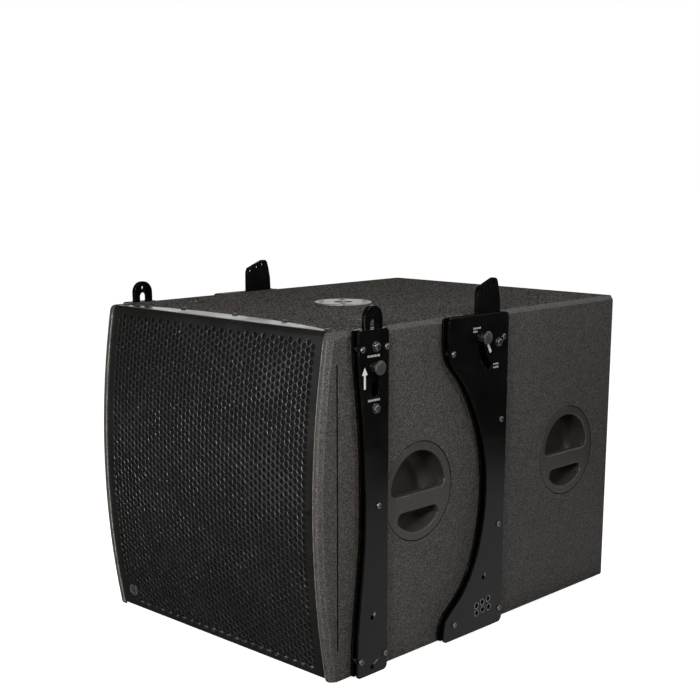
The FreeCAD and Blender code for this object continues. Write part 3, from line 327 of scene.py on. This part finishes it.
M = {}
# coating with the painted highlight on the front cheeks
M["coat"] = coat_material("cabinet_coating", cheek_highlight=1.0)
def moulded_material(name):
    """Fine-spark moulded plastic, a little glossier than the sprayed box."""
    m = Mat(name, rough=0.38, spec=0.5)
    fleck = m.noise(820.0, 2.0, 0.55)
    spark = m.noise(1300.0, 2.0, 0.6)
    m.color(m.ramp(fleck, [(0.36, srgb(32, 30, 28)), (0.5, srgb(50, 47, 45)), (0.64, srgb(78, 74, 71))]))
    m.rough(m.map_range(m.noise(26.0, 4.0, 0.6), 0.3, 0.7, 0.32, 0.44))
    m.bevel(0.0006)
    m.bump(spark, 0.5, 0.0003)
    return m.done()


M["handle"] = moulded_material("handle_moulding")
# painted light: a lighter copy of the coating (lift 1.10) for the top face and upper edges, standing in for the
# light that falls on the top; it also has its own grain, bumps and gloss
M["coat_top"] = coat_material("cabinet_coating_top_painted_light", lift=1.10, grain=0.52, spec=0.02, contrast=1.9, lump=0.6, round_over=0.0015, gloss=(0.78, 0.92))
# painted shade for the groove and the gap round the handles
M["seam"] = fibre_material("seam_shadow", srgb(9, 9, 8), scale=500.0, rough=0.9)
M["ply"] = ply_material("stained_plywood", srgb(62, 54, 46))
M["grille"] = satin_material("grille_powdercoat", srgb(27, 26, 25), rough=0.25, spec=0.45, peel=0.14, bevel=0.0, dust=0.12)
# hole rims: a glossier copy of the grille finish with a lighter base colour, a painted highlight on the rounded rims
M["grille_rim"] = satin_material("grille_rim_powdercoat", srgb(40, 39, 38), rough=0.24, spec=1.0, peel=0.05, bevel=0.0, dust=0.12)
M["foam"] = fibre_material("open_cell_foam", (0.0035, 0.0035, 0.0035, 1.0), scale=900.0, rough=1.0)
M["plate"] = satin_material("rigging_powdercoat", srgb(6, 5.5, 5), rough=0.22, spec=0.26, peel=0.08, wear=0.16, bevel=0.0007)
M["link"] = satin_material("link_black_finish", srgb(3, 3, 3), rough=0.20, spec=0.22, peel=0.06, wear=0.18, bevel=0.0008)
M["screw_black"] = satin_material("blackened_screw", srgb(16, 16, 15), rough=0.26, spec=0.5, peel=0.05, wear=0.35, bevel=0.0004)
M["black_zinc"] = metal_material("black_zinc_fastener", (0.20, 0.195, 0.19, 1.0), rough=0.27)
M["zinc"] = metal_material("zinc_plated_steel", (0.33, 0.325, 0.31, 1.0), rough=0.34)
M["turned"] = metal_material("turned_steel", (0.45, 0.445, 0.43, 1.0), rough=0.28)
M["pole"] = metal_material("pole_flange_alloy", (0.42, 0.41, 0.395, 1.0), rough=0.36, brush=(40.0, 900.0, 900.0))
M["badge"] = metal_material("badge_blank", (0.12, 0.118, 0.115, 1.0), rough=0.34)
M["knob"] = plastic_material("knob_moulding", srgb(52, 50, 48), rough=0.40, spec=0.5)
M["socket"] = plastic_material("socket_moulding", srgb(28, 30, 38), rough=0.30)
M["rubber"] = plastic_material("foot_rubber", srgb(24, 24, 24), rough=0.75, grain=900.0, bump=0.3, spec=0.3)
M["basket"] = satin_material("basket_textured", srgb(26, 26, 26), rough=0.5, spec=0.4, peel=0.3, bevel=0.0008)
M["ferrite"] = plastic_material("ferrite_ring", srgb(48, 47, 46), rough=0.7, grain=500.0, bump=0.25, spec=0.3)
M["motor"] = metal_material("motor_steel_black_zinc", (0.10, 0.10, 0.105, 1.0), rough=0.4)
M["paper"] = fibre_material("cone_pulp", srgb(34, 33, 33), scale=420.0, rough=0.85)
M["cloth"] = fibre_material("doped_cloth", srgb(30, 29, 28), scale=900.0, rough=0.7, weave=True)
M["copper"] = metal_material("coil_winding", (0.55, 0.26, 0.12, 1.0), rough=0.3, brush=(50.0, 3200.0, 50.0))
M["lead"] = plastic_material("lead_sleeving", srgb(96, 18, 16), rough=0.45, grain=700.0)
M["white"] = plastic_material("printed_mark", srgb(214, 213, 208), rough=0.55, grain=2200.0, bump=0.05, bevel=0.0001)
M["mark_dim"] = plastic_material("printed_mark_small", srgb(172, 171, 167), rough=0.55, grain=2200.0, bump=0.05, bevel=0.0001)
M["spring"] = metal_material("spring_wire", (0.40, 0.39, 0.38, 1.0), rough=0.25)


def give(node, mat):
    o = NODES[node]
    o.data.materials.clear()
    o.data.materials.append(mat)
    for p in o.data.polygons:
        p.material_index = 0


for n in ("side_panel_right", "side_panel_left", "bottom_panel", "rear_panel"):
    give(n, M["coat"])
give("top_panel", M["coat_top"])


def top_faces(node):
    """The upper edges of the side and rear panels get the top's lighter copy of the coating, painted light as on the
    top.
    """
    o = NODES[node]
    o.data.materials.append(M["coat_top"])
    k = len(o.data.materials) - 1
    rot = o.matrix_world.to_3x3()
    for p in o.data.polygons:
        c = o.matrix_world @ p.center
        if (rot @ p.normal).z > 0.72 and c.z * 1000.0 - ZS > CAB_H - 6.0:
            p.material_index = k



def seam_faces(node):
    """Painted shade: the faces of the narrow groove and of the gap round each handle get a near-black matt colour
    where shadow falls.
    """
    o = NODES[node]
    o.data.materials.append(M["seam"])
    for p in o.data.polygons:
        c = o.matrix_world @ p.center
        x, y, z = abs(c.x) * 1000.0, c.y * 1000.0 - YS, c.z * 1000.0 - ZS
        if x > PX - 0.25 or x < PX - 14.0:
            continue
        if abs(y - 13.5) < 1.75 and 20.0 < z < 560.0:
            p.material_index = 1
        for hy in (212.0, 651.0):
            if math.hypot(y - hy, z - 288.0) < 88.2:
                p.material_index = 1


seam_faces("side_panel_right")
seam_faces("side_panel_left")
for n in ("side_panel_right", "side_panel_left", "rear_panel"):
    top_faces(n)
for n in ("handles_right", "handles_left"):
    give(n, M["handle"])
for n in ("front_baffle", "port_shelf", "window_brace", "grille_cleats"):
    give(n, M["ply"])
give("grille_screws", M["screw_black"])
give("panel_screws", M["zinc"])
give("pole_socket", M["pole"])
give("rubber_feet", M["rubber"])
give("connector_tray", M["plate"])
give("connector_sockets", M["socket"])
give("plate_spacers", M["black_zinc"])
give("plate_screws", M["black_zinc"])
give("guide_bolts", M["black_zinc"])
give("pivot_bolts", M["black_zinc"])
give("badge_disc", M["badge"])
for s in ("right", "left"):
    for n in ("front_inner_plate_", "front_outer_plate_", "rear_inner_plate_", "rear_outer_plate_"):
        give(n + s, M["plate"])
    for n in ("front_link_", "rear_link_"):
        give(n + s, M["link"])
    for n in ("front_pin_sleeve_", "rear_pin_sleeve_"):
        give(n + s, M["turned"])
    for n in ("front_lock_plunger_", "rear_lock_plunger_"):
        give(n + s, M["knob"])
give("woofer_basket", M["basket"])
give("woofer_gasket", M["rubber"])
give("woofer_top_plate", M["motor"])
give("woofer_yoke", M["motor"])
give("woofer_magnet", M["ferrite"])
give("woofer_cone", M["paper"])
give("woofer_dust_cap", M["paper"])
give("woofer_voice_coil", M["copper"])
give("woofer_surround", M["cloth"])
give("woofer_spider", M["cloth"])
give("woofer_bolts", M["screw_black"])
give("woofer_leads", M["lead"])


# ---------------------------------------------------------------------------
# Mesh helpers
# ---------------------------------------------------------------------------
def make_object(name, verts, faces, mat, sharp_deg=30.0, smooth=True):
    me = bpy.data.meshes.new(name)
    me.from_pydata([tuple(v) for v in verts], [], faces)
    me.update()
    bm = bmesh.new()
    bm.from_mesh(me)
    bmesh.ops.recalc_face_normals(bm, faces=bm.faces)
    bm.to_mesh(me)
    bm.free()
    if smooth:
        for p in me.polygons:
            p.use_smooth = True
        me.set_sharp_from_angle(angle=math.radians(sharp_deg))
    me.materials.append(mat)
    o = bpy.data.objects.new(name, me)
    SCENE.collection.objects.link(o)
    return o


# ---------------------------------------------------------------------------
# Perforated grille: hexagonal openings on the bowed front, wide bends and
# flanges wrapped over the top and bottom faces
# ---------------------------------------------------------------------------
def build_grille():
    T = 1.5
    half = 274.7
    HOLE_R = 5.46          # circumradius, flats top and bottom
    BEV = 0.70             # rounded, paint-filled rim
    RIM = [(HOLE_R + BEV * (1.0 - math.sin(math.radians(a))), BEV * (1.0 - math.cos(math.radians(a)))) for a in (0, 30, 60, 90)]
    RIM += [(HOLE_R, T - 0.2), (HOLE_R + 0.2, T)]
    C = 10.48              # column spacing
    PZ = 12.055            # pitch down a column
    FR = 12.0
    RG = BOW_R - SET                    # radius of the grille's outer face
    yc_arc = BOW_R - BULGE
    zc_f = CAB_H - FR
    yc_f = yc_arc - math.sqrt((RG - FR) ** 2 - (zc_f - CAB_H / 2.0) ** 2)
    ux, uz = (yc_f - yc_arc) / (RG - FR), (zc_f - CAB_H / 2.0) / (RG - FR)
    z_top = CAB_H / 2.0 + RG * uz
    z_bot = CAB_H - z_top
    a0 = math.atan2(uz, -ux)            # normal elevation where the bend starts

    verts, faces = [], []

    def add(v):
        verts.append(v)
        return len(verts) - 1

    def surf(x, z, depth):
        r = RG - depth
        k = (z - CAB_H / 2.0) / RG       # sine of the normal's elevation, kept along the thickness
        return P(x, yc_arc - r * math.sqrt(1.0 - k * k), CAB_H / 2.0 + r * k)

    holes = []
    for k in range(-24, 25):
        x = k * C
        if k % 2 == 0:
            zs = [24.4 + PZ * i for i in range(45)]
        else:
            zs = [18.37 + PZ * i for i in range(46)]
        for z in zs:
            if x < -222.0 and z < 58.0:
                continue
            holes.append((x, z))

    corner = {}
    corner_in = {}

    def cv(x, z):
        key = (round(x * 20), round(z * 20))
        if key not in corner:
            corner[key] = add(surf(x, z, 0.0))
            corner_in[key] = add(surf(x, z, T))
        return key

    offs = [(2 * C / 3, 0), (C / 3, PZ / 2), (-C / 3, PZ / 2), (-2 * C / 3, 0), (-C / 3, -PZ / 2), (C / 3, -PZ / 2)]
    edge_use = {}
    cells_xy = {}
    rim_faces = []
    for (x, z) in holes:
        keys = []
        for (dx, dz) in offs:
            key = cv(x + dx, z + dz)
            cells_xy[key] = (x + dx, z + dz)
            keys.append(key)
        ring = []
        for r, d in RIM:
            ring.append([add(surf(x + r * math.cos(math.pi / 3 * i), z + r * math.sin(math.pi / 3 * i), d)) for i in range(6)])
        for i in range(6):
            j = (i + 1) % 6
            faces.append((corner[keys[i]], corner[keys[j]], ring[0][j], ring[0][i]))
            for q in range(len(RIM) - 1):
                if q < 3:
                    rim_faces.append(len(faces))
                faces.append((ring[q][i], ring[q][j], ring[q + 1][j], ring[q + 1][i]))
            faces.append((ring[-1][i], ring[-1][j], corner_in[keys[j]], corner_in[keys[i]]))
            e = tuple(sorted((keys[i], keys[j])))
            edge_use[e] = edge_use.get(e, 0) + 1
    border = [e for e, n in edge_use.items() if n == 1]

    # outline of the bowed part and the margin between it and the cells
    nx = 54
    xs = [-half + 2 * half * i / nx for i in range(nx + 1)]
    nz = 48
    zs = [z_bot + (z_top - z_bot) * i / nz for i in range(nz + 1)]
    out_pts = [(x, z_bot) for x in xs] + [(half, z) for z in zs[1:]] + [(x, z_top) for x in reversed(xs[:-1])] + \
              [(-half, z) for z in reversed(zs[1:-1])]
    fill_pts = []
    for z in zs[1:-1]:
        for x in (-265.5, 265.5):
            fill_pts.append((x, z))
    for x in (-262.0, -252.0, -242.0, -232.0):
        for z in (20.0, 30.0, 40.0, 48.0):
            fill_pts.append((x, z))
    bkeys = sorted({k for e in border for k in e})
    bi = {k: i for i, k in enumerate(bkeys)}
    pts2 = [Vector(cells_xy[k]) for k in bkeys]
    n_b = len(pts2)
    pts2 += [Vector(p) for p in out_pts]
    n_o = len(out_pts)
    pts2 += [Vector(p) for p in fill_pts]
    edges = [(bi[a], bi[b]) for (a, b) in border] + [(n_b + i, n_b + (i + 1) % n_o) for i in range(n_o)]
    rv, re_, rf, ov, oe, of_ = geometry.delaunay_2d_cdt(pts2, edges, [], 0, 1e-4)
    hole_set = {}
    for (x, z) in holes:
        hole_set.setdefault(round(x / C), []).append(z)

    def in_cell(px, pz):
        for k in (math.floor(px / C), math.floor(px / C) + 1):
            for z in hole_set.get(k, ()):
                dx, dz = abs(px - k * C), abs(pz - z)
                if dz <= PZ / 2 + 0.004 and dx <= 2 * C / 3 - dz * (C / 3) / (PZ / 2) + 0.004:
                    return True
        return False

    vmap, vmap_in = {}, {}
    for i, v in enumerate(rv):
        src = ov[i][0] if ov[i] else -1
        if 0 <= src < n_b:
            vmap[i], vmap_in[i] = corner[bkeys[src]], corner_in[bkeys[src]]
        else:
            vmap[i] = add(surf(v.x, v.y, 0.0))
            vmap_in[i] = add(surf(v.x, v.y, T))
    for f in rf:
        cx = sum(rv[i].x for i in f) / 3.0
        cz = sum(rv[i].y for i in f) / 3.0
        if abs(cx) > half or cz < z_bot or cz > z_top or in_cell(cx, cz):
            continue
        faces.append(tuple(vmap[i] for i in f))
        faces.append(tuple(vmap_in[i] for i in reversed(f)))
    from_src = {}
    for i, src in enumerate(ov):
        for q in src:
            from_src[q] = i
    at = {p: from_src[n_b + q] for q, p in enumerate(out_pts)}

    def outline(x, z):
        i = at[(x, z)]
        return vmap[i], vmap_in[i]

    # side walls of the bowed part
    for x in (-half, half):
        for i in range(nz):
            a, b = outline(x, zs[i]), outline(x, zs[i + 1])
            faces.append((a[0], b[0], b[1], a[1]))

    # bends and flanges, top and bottom
    for sg in (1, -1):
        cols = []
        for x in xs:
            o, n = outline(x, z_top if sg > 0 else z_bot)
            col_o, col_i = [o], [n]
            nb = 8
            for q in range(1, nb + 1):
                a = a0 + (math.pi / 2 - a0) * q / nb
                for lst, r in ((col_o, FR), (col_i, FR - T)):
                    y = yc_f - r * math.cos(a)
                    z = zc_f + r * math.sin(a)
                    lst.append(add(P(x, y, z if sg > 0 else CAB_H - z)))
            ye = max(57.0 * math.sqrt(max(0.0, 1.0 - (x / 280.0) ** 2)), yc_f + 0.4)
            nf = 5
            for q in range(1, nf + 1):
                t = q / nf
                y = yc_f + (ye - yc_f) * t
                drop = 0.0 if q < nf else 0.35     # eased rear edge
                col_o.append(add(P(x, y, (CAB_H - drop) if sg > 0 else drop)))
                col_i.append(add(P(x, y, (CAB_H - T) if sg > 0 else T)))
            cols.append((col_o, col_i))
        for c in range(nx):
            for k in (0, 1):
                A, B = cols[c][k], cols[c + 1][k]
                for q in range(len(A) - 1):
                    faces.append((A[q], B[q], B[q + 1], A[q + 1]))
            A, B = cols[c], cols[c + 1]
            faces.append((A[0][-1], B[0][-1], B[1][-1], A[1][-1]))
        for c in (0, nx):
            A = cols[c]
            for q in range(len(A[0]) - 1):
                faces.append((A[0][q], A[0][q + 1], A[1][q + 1], A[1][q]))
    o = make_object("perforated_grille", verts, faces, M["grille"], sharp_deg=40.0)
    # the rim faces get the lighter, glossier copy: painted highlight
    o.data.materials.append(M["grille_rim"])
    for k in rim_faces:
        o.data.polygons[k].material_index = 1
    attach(o, "cabinet")
    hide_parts("grille")
    return o


# ---------------------------------------------------------------------------
# Acoustic foam: a soft curved pad with an uneven open-cell skin
# ---------------------------------------------------------------------------
def build_foam():
    from mathutils import noise as mn
    verts, faces = [], []
    nx, nz = 96, 104
    x0, x1, z0, z1 = -255.0, 255.0, 17.5, 562.5
    front, back = [], []
    for j in range(nz + 1):
        z = z0 + (z1 - z0) * j / nz
        fr, bk = [], []
        for i in range(nx + 1):
            x = x0 + (x1 - x0) * i / nx
            e = min(i, nx - i, j, nz - j)
            ease = 0.0 if e > 1 else (1.6 if e == 0 else 0.5)
            d = 2.35 + ease + 0.45 * mn.noise(Vector((x * 0.09, z * 0.09, 3.1)))
            fr.append(len(verts))
            verts.append(P(x, bow(z, SET + d), z))
            bk.append(len(verts))
            verts.append(P(x, bow(z, SET + 9.2 - ease * 0.8), z))
        front.append(fr)
        back.append(bk)
    for j in range(nz):
        for i in range(nx):
            faces.append((front[j][i], front[j][i + 1], front[j + 1][i + 1], front[j + 1][i]))
            faces.append((back[j][i], back[j + 1][i], back[j + 1][i + 1], back[j][i + 1]))
    for i in range(nx):
        faces.append((front[0][i], back[0][i], back[0][i + 1], front[0][i + 1]))
        faces.append((front[nz][i], front[nz][i + 1], back[nz][i + 1], back[nz][i]))
    for j in range(nz):
        faces.append((front[j][0], front[j + 1][0], back[j + 1][0], back[j][0]))
        faces.append((front[j][nx], back[j][nx], back[j + 1][nx], front[j + 1][nx]))
    o = make_object("foam_backing", verts, faces, M["foam"], sharp_deg=60.0)
    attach(o, "cabinet")
    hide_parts("grille_foam")
    return o


# ---------------------------------------------------------------------------
# Printed marks on the rigging plates: thin raised ink, plain shapes only
# ---------------------------------------------------------------------------
MARK_U = 17.0


def prism(name, outlines, side, mat, body="cabinet", u0=MARK_U - 0.03, u1=MARK_U + 0.06):
    """Flat marks: outlines are lists of (y, z) points, extruded just proud of the plate."""
    sg = 1 if side == "right" else -1
    verts, faces = [], []
    for pts in outlines:
        n = len(pts)
        base = len(verts)
        for u in (u0, u1):
            for (y, z) in pts:
                verts.append(P(sg * (PX + u), y, z))
        faces.append(tuple(range(base, base + n)))
        faces.append(tuple(range(base + n, base + 2 * n)))
        for i in range(n):
            j = (i + 1) % n
            faces.append((base + i, base + j, base + n + j, base + n + i))
    o = make_object(name, verts, faces, mat, smooth=False)
    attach(o, body)
    return o


def rect(y0, y1, z0, z1, r=0.5):
    return [(y0 + r, z0), (y1 - r, z0), (y1, z0 + r), (y1, z1 - r), (y1 - r, z1), (y0 + r, z1), (y0, z1 - r), (y0, z0 + r)]


def ring(y, z, r0, r1, a0=0.0, a1=360.0, n=28):
    """Ring or arc segment as a list of small quads."""
    out = []
    for i in range(n):
        a = math.radians(a0 + (a1 - a0) * i / n)
        b = math.radians(a0 + (a1 - a0) * (i + 1) / n)
        out.append([(y + r0 * math.cos(a), z + r0 * math.sin(a)), (y + r1 * math.cos(a), z + r1 * math.sin(a)),
                    (y + r1 * math.cos(b), z + r1 * math.sin(b)), (y + r0 * math.cos(b), z + r0 * math.sin(b))])
    return out


def dashes(y0, y1, z, h, widths, gap=1.0):
    """A run of short bars that stands for a line of print."""
    out = []
    y = y0
    i = 0
    while y < y1 - 1.0:
        w = widths[i % len(widths)]
        out.append(rect(y, min(y + w, y1), z - h / 2, z + h / 2, 0.3))
        y += w + gap
        i += 1
    return out


def build_marks():
    for side in ("right", "left"):
        # upward arrow beside the front knob
        c, w = 58.4, 2.3
        prism("front_arrow_" + side, [[(c - w, 486.0), (c + w, 486.0), (c + w, 508.5), (c + 6.6, 508.5), (c, 521.0), (c - 6.6, 508.5), (c - w, 508.5)]], side, M["white"])
        prism("front_label_bars_" + side, dashes(64.5, 95.0, 537.6, 3.4, (3.6, 2.4, 4.4, 2.0)) + dashes(66.0, 95.5, 466.2, 3.4, (2.4, 4.2, 3.0)), side, M["mark_dim"])
        # rear plate: two short label groups, a pointer beside the knob slot
        prism("rear_label_bars_" + side,
              dashes(331.5, 352.5, 557.4, 3.0, (3.0, 4.0, 2.2)) + dashes(331.5, 343.0, 551.6, 3.0, (2.6, 3.6)) +
              dashes(390.0, 405.0, 489.4, 3.0, (3.2, 2.4)) + dashes(390.0, 405.5, 483.4, 3.0, (2.4, 3.4)), side, M["mark_dim"])
        prism("rear_pointer_" + side, [[(376.3, 527.0), (371.8, 524.5), (379.6, 510.2), (384.1, 512.7)]], side, M["white"])
        prism("front_pin_pointer_" + side, [[(83.2, 16.4), (92.6, 22.4), (91.9, 23.5), (82.5, 17.5)]], side, M["mark_dim"])
        prism("pin_hole_ticks_" + side,
              [rect(379.6, 381.0, 100.0, 106.0, 0.3), rect(82.8, 84.4, 101.0, 108.5, 0.3), rect(80.2, 87.0, 104.0, 105.3, 0.3)] +
              sum([ring(y, z, 5.6, 6.3, n=18) for (y, z) in ((357.3, 48.1), (373.5, 51.0), (391.5, 53.4), (357.9, 33.6), (375.3, 36.5), (393.2, 37.1))], []),
              side, M["mark_dim"])


def build_springs():
    """Real coil springs in place of the plain tubes, each carried with its link."""
    for side in ("right", "left"):
        sg = 1 if side == "right" else -1
        for which, (y, z) in (("front", (83.0, 519.0)), ("rear", (358.0, 540.0))):
            turns, n = 6.0, 168
            u0, u1, r, wr = 7.65, 19.35, 3.72, 0.42
            path = []
            for i in range(n + 1):
                t = i / n
                a = 2 * math.pi * turns * t
                # closed end turns
                s = 0.5 - 0.5 * math.cos(math.pi * t)
                uu = u0 + (u1 - u0) * (0.35 * s + 0.65 * t)
                path.append(Vector((uu, r * math.cos(a), r * math.sin(a))))
            verts, faces = [], []
            seg = 8
            for i, p in enumerate(path):
                tg = (path[min(i + 1, n)] - path[max(i - 1, 0)]).normalized()
                radial = Vector((0, p.y, p.z)).normalized()
                bn = tg.cross(radial).normalized()
                for k in range(seg):
                    a = 2 * math.pi * k / seg
                    q = p + radial * (wr * math.cos(a)) + bn * (wr * math.sin(a))
                    verts.append(P(sg * (PX + q.x), y + q.y, z + q.z))
            for i in range(n):
                for k in range(seg):
                    a, b = i * seg + k, i * seg + (k + 1) % seg
                    faces.append((a, b, b + seg, a + seg))
            faces.append(tuple(range(seg)))
            faces.append(tuple(range(n * seg, n * seg + seg)))
            o = make_object("%s_return_spring_%s" % (which, side), verts, faces, M["spring"], sharp_deg=60.0)
            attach(o, "%s_link_%s" % (which, side))
            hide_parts("%s_pin_spring_%s" % (which, side))
            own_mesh(o)


def build_badge_ring():
    """Plain concentric rings on the blank corner disc."""
    bx, bz = -239.7, 37.0
    k = math.asin((CAB_H / 2 - bz) / BOW_R)
    n = Vector((0, -math.cos(k), -math.sin(k)))
    up = Vector((0, -math.sin(k), math.cos(k)))
    xx = Vector((1, 0, 0))
    c = P(bx, bow(bz), bz) + n * (0.00166 - SET * 0.001)
    for name, r0, r1, mat in (("badge_ring_outer", 9.4, 10.3, M["mark_dim"]), ("badge_ring_inner", 5.0, 5.6, M["mark_dim"])):
        verts, faces = [], []
        seg = 64
        prof = [(r0, 0.0), (r0 + 0.15, 0.14), (r1 - 0.15, 0.14), (r1, 0.0), ((r0 + r1) / 2, -0.1)]
        m = len(prof)
        for i in range(seg):
            a = 2 * math.pi * i / seg
            d = xx * math.cos(a) + up * math.sin(a)
            for (r, h) in prof:
                verts.append(c + d * (r * 0.001) + n * (h * 0.001))
        for i in range(seg):
            j = (i + 1) % seg
            for q in range(m):
                w = (q + 1) % m
                faces.append((i * m + q, i * m + w, j * m + w, j * m + q))
        o = make_object(name, verts, faces, mat, sharp_deg=50.0)
        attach(o, "cabinet")


build_grille()
build_foam()
build_marks()
build_springs()
build_badge_ring()

# ---------------------------------------------------------------------------
# Stage: floor, light, camera
# ---------------------------------------------------------------------------
def floor_material():
    """Pale studio floor: matt, with a little light of its own so that it stays even."""
    m = Mat("studio_floor", rough=0.6, spec=0.2)
    n = m.noise(3.0, 4.0, 0.5)
    m.color(m.ramp(n, [(0.3, (0.82, 0.82, 0.82, 1)), (0.7, (0.86, 0.86, 0.86, 1))]))
    m.b.inputs["Emission Color"].default_value = (1.0, 1.0, 1.0, 1.0)
    m.b.inputs["Emission Strength"].default_value = 0.95
    return m.done()


fl = make_object("studio_floor_plane", [Vector((-30, -30, 0)), Vector((30, -30, 0)), Vector((30, 30, 0)), Vector((-30, 30, 0))], [(0, 1, 2, 3)], floor_material(), smooth=False)
fl.visible_glossy = False
fl.visible_diffuse = False


def card(name, corners, strength):
    """A plain bounce card: only seen in the gloss of the finish."""
    mt = bpy.data.materials.new(name)
    mt.use_nodes = True
    t = mt.node_tree
    t.nodes.clear()
    out = t.nodes.new("ShaderNodeOutputMaterial")
    em = t.nodes.new("ShaderNodeEmission")
    em.inputs["Color"].default_value = (1.0, 1.0, 1.0, 1.0)
    em.inputs["Strength"].default_value = strength
    t.links.new(em.outputs[0], out.inputs[0])
    o = make_object(name, [Vector(c) for c in corners], [(0, 1, 2, 3)], mt, smooth=False)
    o.visible_camera = False
    o.visible_diffuse = False
    o.visible_shadow = False
    return o


card("floor_card", [(0.312, -0.60, 0.004), (1.15, -0.60, 0.004), (1.15, 1.05, 0.004), (0.312, 1.05, 0.004)], 0.60)
card("back_card_left", [(-3.4, 1.3, 0.4), (-2.1, 2.6, 0.4), (-2.1, 2.6, 1.9), (-3.4, 1.3, 1.9)], 1.25)
card("back_card_right", [(-1.5, 3.0, 0.4), (0.4, 3.9, 0.4), (0.4, 3.9, 1.9), (-1.5, 3.0, 1.9)], 1.45)

world = bpy.data.worlds.new("studio_world")
SCENE.world = world
world.use_nodes = True
wt = world.node_tree
bg = wt.nodes["Background"]
bg.inputs[1].default_value = 1.0
lp = wt.nodes.new("ShaderNodeLightPath")
wm = wt.nodes.new("ShaderNodeMix")
wm.data_type = "RGBA"
wm.inputs[6].default_value = (0.03, 0.03, 0.03, 1.0)
wm.inputs[7].default_value = (1.0, 1.0, 1.0, 1.0)
wt.links.new(lp.outputs["Is Camera Ray"], wm.inputs[0])
wt.links.new(wm.outputs[2], bg.inputs[0])
SCENE.view_settings.view_transform = "Standard"
SCENE.view_settings.look = "None"
SCENE.view_settings.exposure = 0.0
SCENE.view_settings.gamma = 1.0


def area(name, loc, target, size, power, size_y=None):
    d = bpy.data.lights.new(name, "AREA")
    d.energy = power
    d.size = size
    if size_y:
        d.shape = "RECTANGLE"
        d.size_y = size_y
    o = bpy.data.objects.new(name, d)
    SCENE.collection.objects.link(o)
    o.location = loc
    o.rotation_euler = (Vector(target) - Vector(loc)).to_track_quat("-Z", "Y").to_euler()
    o.visible_camera = False
    return o


k = area("key_side", (1.70, 0.35, 1.30), (0.29, -0.50, 0.45), 0.5, 2.6, 0.5)
k.data.spread = math.radians(80.0)
area("key_front", (1.45, -1.05, 1.45), (0.10, -0.40, 0.35), 0.26, 3.4, 0.26)
area("rear_top", (0.45, 1.35, 1.50), (0.0, 0.15, 0.58), 0.9, 5.5, 0.9)
area("front_high", (1.15, -1.98, 1.40), (0.0, -0.30, 0.35), 0.30, 30.0, 0.30)
area("front_strip", (-0.95, -2.1, 0.80), (0.0, -0.3, 0.35), 0.30, 2.5, 1.2)
area("strip_cheek", (-0.04, -2.30, 0.42), (0.285, -0.40, 0.35), 0.10, 22.0, 0.80)
area("strip_corner", (1.75, -0.90, 0.42), (0.29, -0.40, 0.35), 0.08, 4.0, 0.80)
area("rear_rim", (0.95, 1.95, 0.55), (0.29, -0.1, 0.30), 0.20, 1.6, 0.20)
sun_d = bpy.data.lights.new("even_top", "SUN")
sun_d.energy = 0.26
sun_d.angle = math.radians(50.0)
sun = bpy.data.objects.new("even_top", sun_d)
SCENE.collection.objects.link(sun)
sun.rotation_euler = Vector((-0.30, -0.45, -1.0)).to_track_quat("-Z", "Y").to_euler()
sun.visible_camera = False

cam_d = bpy.data.cameras.new("photo_camera")
cam = bpy.data.objects.new("photo_camera", cam_d)
SCENE.collection.objects.link(cam)
cam.location = (1.65793, -1.76592, 0.84436)
look = Vector((-0.67711, 0.70400, -0.21407))
cam.rotation_euler = look.to_track_quat("-Z", "Y").to_euler()
cam_d.sensor_width = 36.0
cam_d.lens = 65.08
cam_d.shift_y = 0.1290
cam_d.clip_start = 0.05
cam_d.clip_end = 60.0
SCENE.camera = cam
